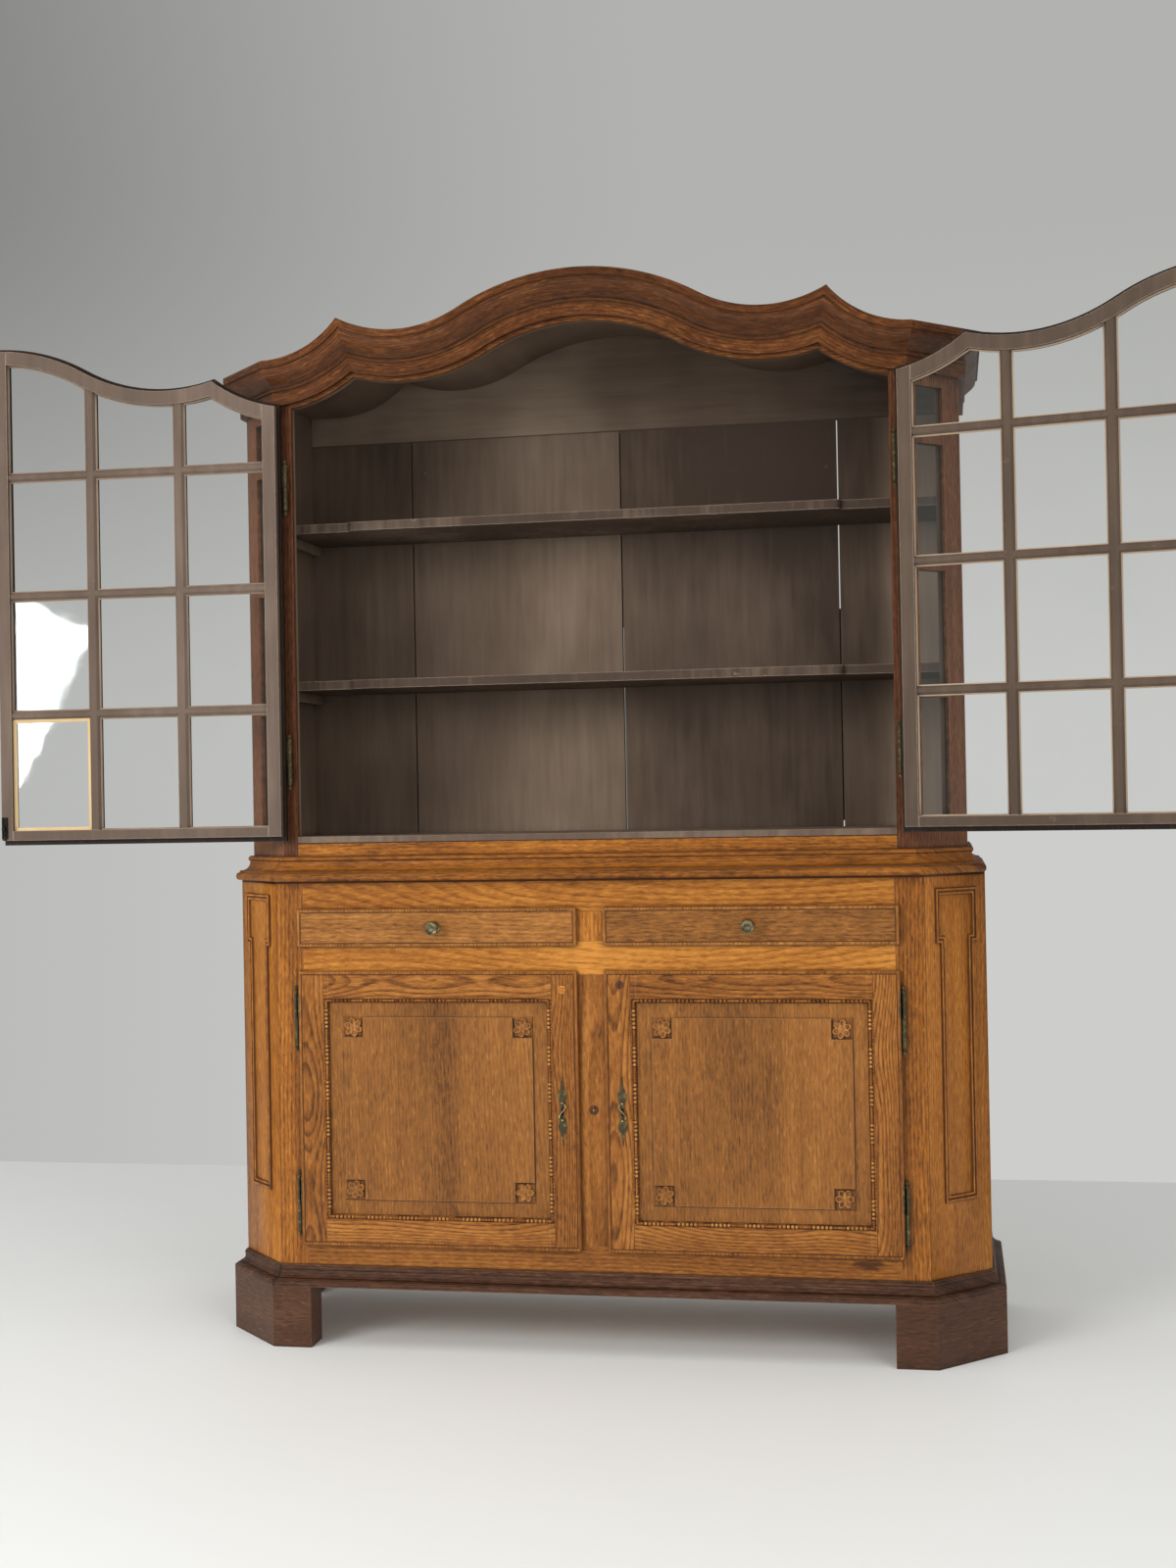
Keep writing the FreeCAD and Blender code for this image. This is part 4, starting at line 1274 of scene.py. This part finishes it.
def panelShade(name):
    # Painted shade in the sunk corners of a panel and along the foot of its field, most below and at the
    # right
    def shade(f):
        low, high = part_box("panel_" + name)
        inset = Vector((rosette["margin"], 0, rosette["margin"])) * mm
        fieldLow, fieldHigh = low + inset, high - inset
        x, y, z = f.split(f.spot())
        front = 1 - f.step(y, high.y - 0.0004, high.y - 0.0002)
        aside = f.step(x, fieldHigh.x - 0.001, fieldHigh.x)
        shady = x.sum("MAXIMUM", aside, 1 - f.step(z, fieldLow.z, fieldLow.z + 0.001))
        foot = f.band(f.outside(fieldLow, fieldHigh), 0.0, 0.0022) * (0.1 + shady * 0.45)
        middle, half = (low + high) / 2, (high - low) / 2 - inset
        notch = rosette["notch"] * mm
        inX, inZ = half.x - abs(x - middle.x), half.z - abs(z - middle.z)
        deep = x.sum("MAXIMUM", inX, inZ)
        sunk = (1 - f.step(deep, notch - 0.0004, notch)) * f.step(x.sum("MINIMUM", inX, inZ), 0.0, 0.0004)
        return (foot + sunk * (0.12 + f.step(deep, notch - 0.005, notch - 0.002) * 0.4)) * front
    return shade


def waistShade(f):
    # Painted shade in the quirks of the waist moulding and toward its foot
    z = f.split(f.spot())[2]
    low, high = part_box("waist_moulding")
    quirk = f.band(z, low.z + 0.0244, low.z + 0.0264, 0.0006)
    quirk = quirk + f.band(z, high.z - 0.0014, high.z + 0.001, 0.0006)
    return quirk * 0.5 + (1 - f.step(z, low.z + 0.001, low.z + 0.009)) * 0.22


def topGap(f):
    # Painted shadow under the top board
    z = f.split(f.spot())[2]
    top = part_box("base_top_rail")[1].z
    return f.step(z, top - 0.0058, top - 0.0044) * 1.2


def stileShade(f):
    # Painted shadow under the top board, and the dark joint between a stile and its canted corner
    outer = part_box("base_stile_right")[1].x
    return topGap(f) + f.step(abs(f.split(f.spot())[0]), outer - 0.002, outer - 0.001) * 0.35


ink = {"x": 0.533, "z": 0.19, "narrow": 30, "flat": 80, "dark": 0.45}


def railStain(f):
    # Ink spilt on the bottom rail
    x, y, z = f.split(f.spot())
    aside, above = (x - ink["x"]) * ink["narrow"], (z - ink["z"]) * ink["flat"]
    spread = aside * aside + above * above + f.noise(f.join(x * 60, y, z * 120), 1, 3) * 0.9
    return (1 - f.step(spread, 0.3, 1.7)) * ink["dark"]


def plinthShade(f):
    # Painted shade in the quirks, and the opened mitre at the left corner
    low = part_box("base_stile_left")[0]
    away = f.beyond((low.x, low.y, 0), Vector((-1, mitre, 0)).normalized())
    above = f.split(f.spot())[2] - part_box("plinth_moulding")[0].z
    quirks = f.band(above, 0.0138, 0.0152, 0.0008) * 0.5 + f.band(above, 0.0292, 0.0304, 0.0008) * 0.3
    return f.band(away, -0.0022, 0.0022, 0.0006) * 1.2 + quirks


def boxMiddle(node):
    low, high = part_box(node)
    return (low + high) / 2


def stain(dark, mid, light, **changes):
    return {"dark": tone(*dark), "mid": tone(*mid), "light": tone(*light), **changes}


golden = stain((84, 44, 10), (154, 92, 27), (202, 135, 54))
tawny = stain((76, 40, 12), (140, 84, 28), (184, 122, 56))
brown = stain((80, 46, 16), (148, 94, 40), (192, 135, 68))
reddish = stain((36, 17, 6), (88, 49, 22), (140, 88, 44), coat=0.08, rough=0.36, worn=0.15)
darkRed = stain((40, 20, 9), (88, 50, 28), (124, 76, 46), worn=0.12)
redBrown = stain((62, 32, 18), (118, 74, 46), (156, 108, 74), worn=0.15)
blackened = stain((34, 19, 11), (80, 50, 33), (118, 82, 58), rough=0.5, worn=0.2)
sooty = stain((14, 11, 9), (34, 25, 20), (58, 42, 32), worn=0.1)
bareBoard = stain((104, 72, 40), (160, 120, 74), (196, 158, 106), rough=0.7)

# Which finish each board of the frame has, and the way its grain runs
stileBoard = {"shift": -0.09, "shades": stileShade}
cantBoard = {"shift": -0.02, "streaks": 0.4, "lines": 0.16, "reach": 0.01, "grimeFrom": 0.16, "worn": 0.0,
             "shades": topGap}
sideBoard = {"shift": -0.05}
drawerBoard = {"lines": 0.14, "streaks": 0.5}
boards = {
    "base_bottom_rail": ("x", tawny, {"shades": railStain}),
    "base_mid_rail": ("x", golden, {"shift": 0.24, "heart": 0.05}),
    "base_top_rail": ("x", golden, {"shift": 0.08, "heart": 0.03, "shades": topGap}),
    "base_top": ("x", golden, {"shift": -0.2, "lines": 0.14}),
    "waist_moulding": ("x", golden, {"shift": -0.13, "lines": 0.1, "shades": waistShade}),
    "base_stile_left": ("z", golden, stileBoard),
    "base_stile_right": ("z", golden, stileBoard),
    "base_cant_left": ("z", golden, {**cantBoard, "lean": -0.8}),
    "base_cant_right": ("z", golden, cantBoard),
    "base_side_left": ("z", golden, sideBoard),
    "base_side_right": ("z", golden, sideBoard),
    "door_mullion": ("z", tawny, {"shift": -0.02, "heart": 0.01}),
    "drawer_divider": ("z", golden, {}),
    "drawer_front_left": ("x", brown, {**drawerBoard, "shift": -0.03}),
    "drawer_front_right": ("x", brown, {**drawerBoard, "shift": -0.22}),
    "plinth_moulding": ("x", blackened, {"shift": -0.06, "shades": plinthShade}),
    "feet": ("x", blackened, {"shift": -0.07, "lean": 0.0, "lines": 0.06, "streaks": 0.35, "fine": 0.5}),
    "base_back": ("z", bareBoard, {"shift": -0.2}),
    "base_floor": ("x", bareBoard, {}),
    "base_shelf": ("x", bareBoard, {}),
    "dust_board": ("x", bareBoard, {}),
    "drawer_box_left": ("x", bareBoard, {}),
    "drawer_box_right": ("x", bareBoard, {}),
}


def dress(node, finish, bevel=0.9):
    piece = nodes[node]
    piece.data.materials.clear()
    piece.data.materials.append(finish)
    if bevel:
        soften(piece, bevel * mm)


# Joined cupboard doors: flat-sawn frames and plain panels
doorFrame = {"centre": 0.006, "rings": 190.0, "arch": 3.0, "deep": 0.08, "lines": 0.44, "offHeart": 0.06,
             "shift": 0.06, **tawny}
doorPanel = {"heart": 0.3, "streak": 0.14, "streaks": 0.35, "blotch": 0.5, "lines": 0.1, "fine": 0.55,
             "pores": 0.12, "worn": 0.55, "shift": -0.1, **brown}


def dressBoards():
    for count, (node, (along, colours, changes)) in enumerate(boards.items()):
        middle = boxMiddle(node)
        lean, heart = (changes.get(key, oakLook[key]) for key in ("lean", "heart"))
        centre = (middle.z if along == "x" else middle.x) + middle.y * lean + heart
        look = {**colours, **changes}
        if node.startswith("drawer_front"):
            look["shades"] = grooveOf(node)
        dress(node, oak("oak_" + node, along=along, centre=centre, seed=count * 1.37, **look))
    for count, name in enumerate(sides):
        finish = oak("oak_panel_frame_" + name, frameShade(name), layOfDoor(name), seed=40.3 + count,
                     **doorFrame)
        dress("panel_frame_" + name, finish, 0.7)
        middle = boxMiddle("panel_" + name)
        centre = middle.x + middle.y * oakLook["lean"] + doorPanel["heart"]
        finish = oak("oak_panel_" + name, panelShade(name), centre=centre, seed=51.7 + count, **doorPanel)
        dress("panel_" + name, finish, 0.6)


# Display case: how deep the stain of its outside goes before the paint begins, and the paints
stainDeep = {"frame": 11.0, "sill": 12.5, "back": 2.0}


def paintTones(thin, body, dusty, **changes):
    return {"thin": tone(*thin), "body": tone(*body), "dusty": tone(*dusty), **changes}


sillPaint = {"body": tone(98, 81, 68), "seed": 14.0}
ceilingPaint = paintTones((82, 67, 56), (124, 104, 87), (158, 138, 119), grime=0.0)
backPaint = {"chips": 0.15, "grime": 0.4}
shelfPaint = {"thin": tone(52, 40, 33), "body": tone(78, 63, 53), "chips": 0.8, "scuffs": 0.3,
              "chipFrom": 0.16}
doorPaint = {
    # The right door's paint is darker than the left's as painted shade
    "right": {"body": tone(82, 67, 56), "dusty": tone(110, 92, 78), "chips": 0.7, "chipFrom": 0.1},
    "left": {"body": tone(99, 83, 72), "dusty": tone(130, 113, 99), "chips": 0.7, "chipFrom": 0.1},
}


def dressUpperCase():
    deep = stainDeep["frame"] * mm
    inside = Vector((0, 1, 0))
    middleFront = Vector((0, caseFront + deep, 0))
    for count, (name, side) in enumerate(sides.items()):
        finish = paintedInside("stainedPost_" + name, middleFront, inside, seed=60.1 + count, **darkRed)
        dress("post_" + name, finish)
        wall = Vector((side * (upperOuter - deep), 0, 0))
        finish = paintedInside("stainedSide_" + name, wall, Vector((-side, 0, 0)), seed=63.4 + count,
                               **redBrown)
        dress("upper_side_" + name, finish)
        inward = Vector((-side, 1, 0)).normalized()
        corner = Vector((side * upperHalf, caseFront, 0)) + inward * deep
        finish = paintedInside("stainedCant_" + name, corner, inward, seed=66.9 + count,
                               lean=oakLook["lean"] * side, **redBrown)
        dress("cant_frame_" + name, finish)
    finish = paintedInside("stainedArch", middleFront, inside, along="x", seed=70.2, grime=0.3, shift=0.1,
                           **reddish)
    dress("arched_rail", finish)
    sillTop = Vector((0, 0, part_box("sill_rail")[1].z - stainDeep["sill"] * mm))
    finish = paintedInside("paintedSill", sillTop, Vector((0, 0, 1)), sillPaint, along="x", seed=72.6,
                           lines=0.14, quirk=0.9, shift=-0.13, **golden)
    dress("sill_rail", finish)
    dress("roof", paintedUnder("paintedCeiling", ceilingPaint, along="x", seed=71.8, shift=-0.3, **bareBoard))
    backFace = Vector((0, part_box("upper_back")[0].y + stainDeep["back"] * mm, 0))
    finish = paintedInside("paintedBack", backFace, Vector((0, -1, 0)), backPaint, planksOfBack, headOfBack,
                           seed=73.9, **bareBoard)
    dress("upper_back", finish, 0.5)
    dress("upper_floor", paint("paintedFloor", seed=3.0), 0.5)
    dress("shelf_bearers", paint("paintedBearers", seed=6.0), 0.5)
    for count, name in enumerate(("upper", "lower")):
        dress("display_shelf_" + name, paint("paintedShelf_" + name, seed=8.0 + count, **shelfPaint), 1.5)


def dressGlazedDoors(glassFinish):
    hingeX = hingeSets["upper"]["x"]
    for count, name in enumerate(sides):
        place = swingOf(hingeSets["upper"], name)
        point = place(hingeX, glazing["paintFrom"], 0)
        inward = (place(hingeX, 1 / mm, 0) - place(hingeX, 0, 0)).normalized()
        coat = {"seed": 20.0 + count, **doorPaint[name]}
        finish = paintedInside("paintedDoor_" + name, point, inward, coat, seed=80.0 + count, **sooty)
        dress("glazed_frame_" + name, finish, 0.8)
        dress("glazed_glass_" + name, glassFinish, 0)
    dress("cant_glass", glassFinish, 0)


brass = metal("brightBrass", tone(228, 208, 158), tone(176, 150, 96), tone(92, 80, 50), 0.25, 0.24)
knobMetal = metal("darkBrass", tone(158, 144, 110), tone(112, 103, 80), tone(62, 58, 44), 0.02, 0.3, 0.08)
bronze = metal("greenBrass", tone(160, 138, 84), tone(96, 84, 54), tone(70, 62, 42), 0.58, 0.34)
# The black keyhole finish is painted shadow in the hole
keyholeBlack = metal("keyholeBlack", tone(20, 17, 14), tone(14, 12, 10), tone(10, 9, 8), 0.6, 0.7)
iron = metal("blackIron", tone(78, 70, 64), tone(48, 42, 38), tone(30, 26, 23), 0.6, 0.5)

dressBoards()
dressUpperCase()
dressGlazedDoors(windowGlass("oldGlass"))
print("boards, paint and glass dressed")

makeCornice(oak("oakCornice", along="x", swept=True, seed=90.4, lines=0.14, pores=0.14, reach=0.01,
                grimeFrom=0.14, shift=-0.1, shine=0.2, **reddish))
makeCantTrim(cantTrim, oak("oakCantTrim", trimShade, seed=93.1, reach=0.006, grimeFrom=0.12, grime=0.95,
                           worn=0.25, **golden))
print("cornice and mouldings made")

makeHinges(hinge, hingeSets, bronze)
makeKnobs(knobMetal)
makePlates(plateLook, [bronze, brass, keyholeBlack])
print("hinges, knobs and plates made")

# A lighter copy of the oak on the petal rims and a darker copy in the cups and ground, as painted light and
# painted shade
carved = oak("oakCarving", seed=95.7, reach=0.003, grime=0.6, shift=0.08, worn=0.3, **brown)
sunk = oak("oakHollow", seed=96.4, reach=0.003, grime=0.5, shift=-0.12, worn=0.0, **brown)
makeRosettes(rosette, [carved, sunk])
stick = oak("oakStick", seed=97.3, reach=0.004, worn=0.1, **tawny)
# A lighter copy of the oak for the beads as painted light, and a darker copy for the top row as painted shade
litBead = oak("oakBead", seed=97.9, reach=0.003, shift=0.22, worn=0.6, pale=tone(214, 170, 130), **brown)
shadyBead = oak("oakShadyBead", seed=98.1, reach=0.003, shift=-0.1, worn=0.15, **tawny)
makeBeading(beading, [stick, litBead, shadyBead])
edging = oak("oakEdging", seed=98.3, reach=0.004, worn=0.1, **brown)
makeScratchBeads(scratch, [("panel_frame_" + name, "panel_door_" + name, stick) for name in sides]
                 + [("drawer_front_" + name, "drawer_" + name, edging) for name in sides])
print("carving made")

oldPutty = paint("oldPutty", seed=31.0, **paintTones((88, 72, 60), (120, 100, 84), (170, 146, 122)))
freshTones = paintTones((182, 148, 98), (212, 182, 132), (232, 212, 172), grime=0.3)
freshPutty = paint("freshPutty", seed=33.0, **freshTones)
bareEdge = paint("bareEdge", seed=32.0, **paintTones((116, 98, 82), (164, 142, 118), (204, 184, 158)))
makePutty(glazing, {"left": oldPutty, "right": bareEdge}, freshPutty)
makeCatch(catch, iron)
makePlugs(plugs, {"metal": brass, "dark": oak("oakPeg", seed=98.9, **darkRed),
                  "pale": oak("oakDowel", along="x", seed=99.6, shift=0.25, **golden)})
# The seam strips carry a near-black oak as painted shadow in the gaps
makeSeams(seams, oak("seamDirt", seed=100.3, **sooty))
print("putty, catch, plugs and seams made")
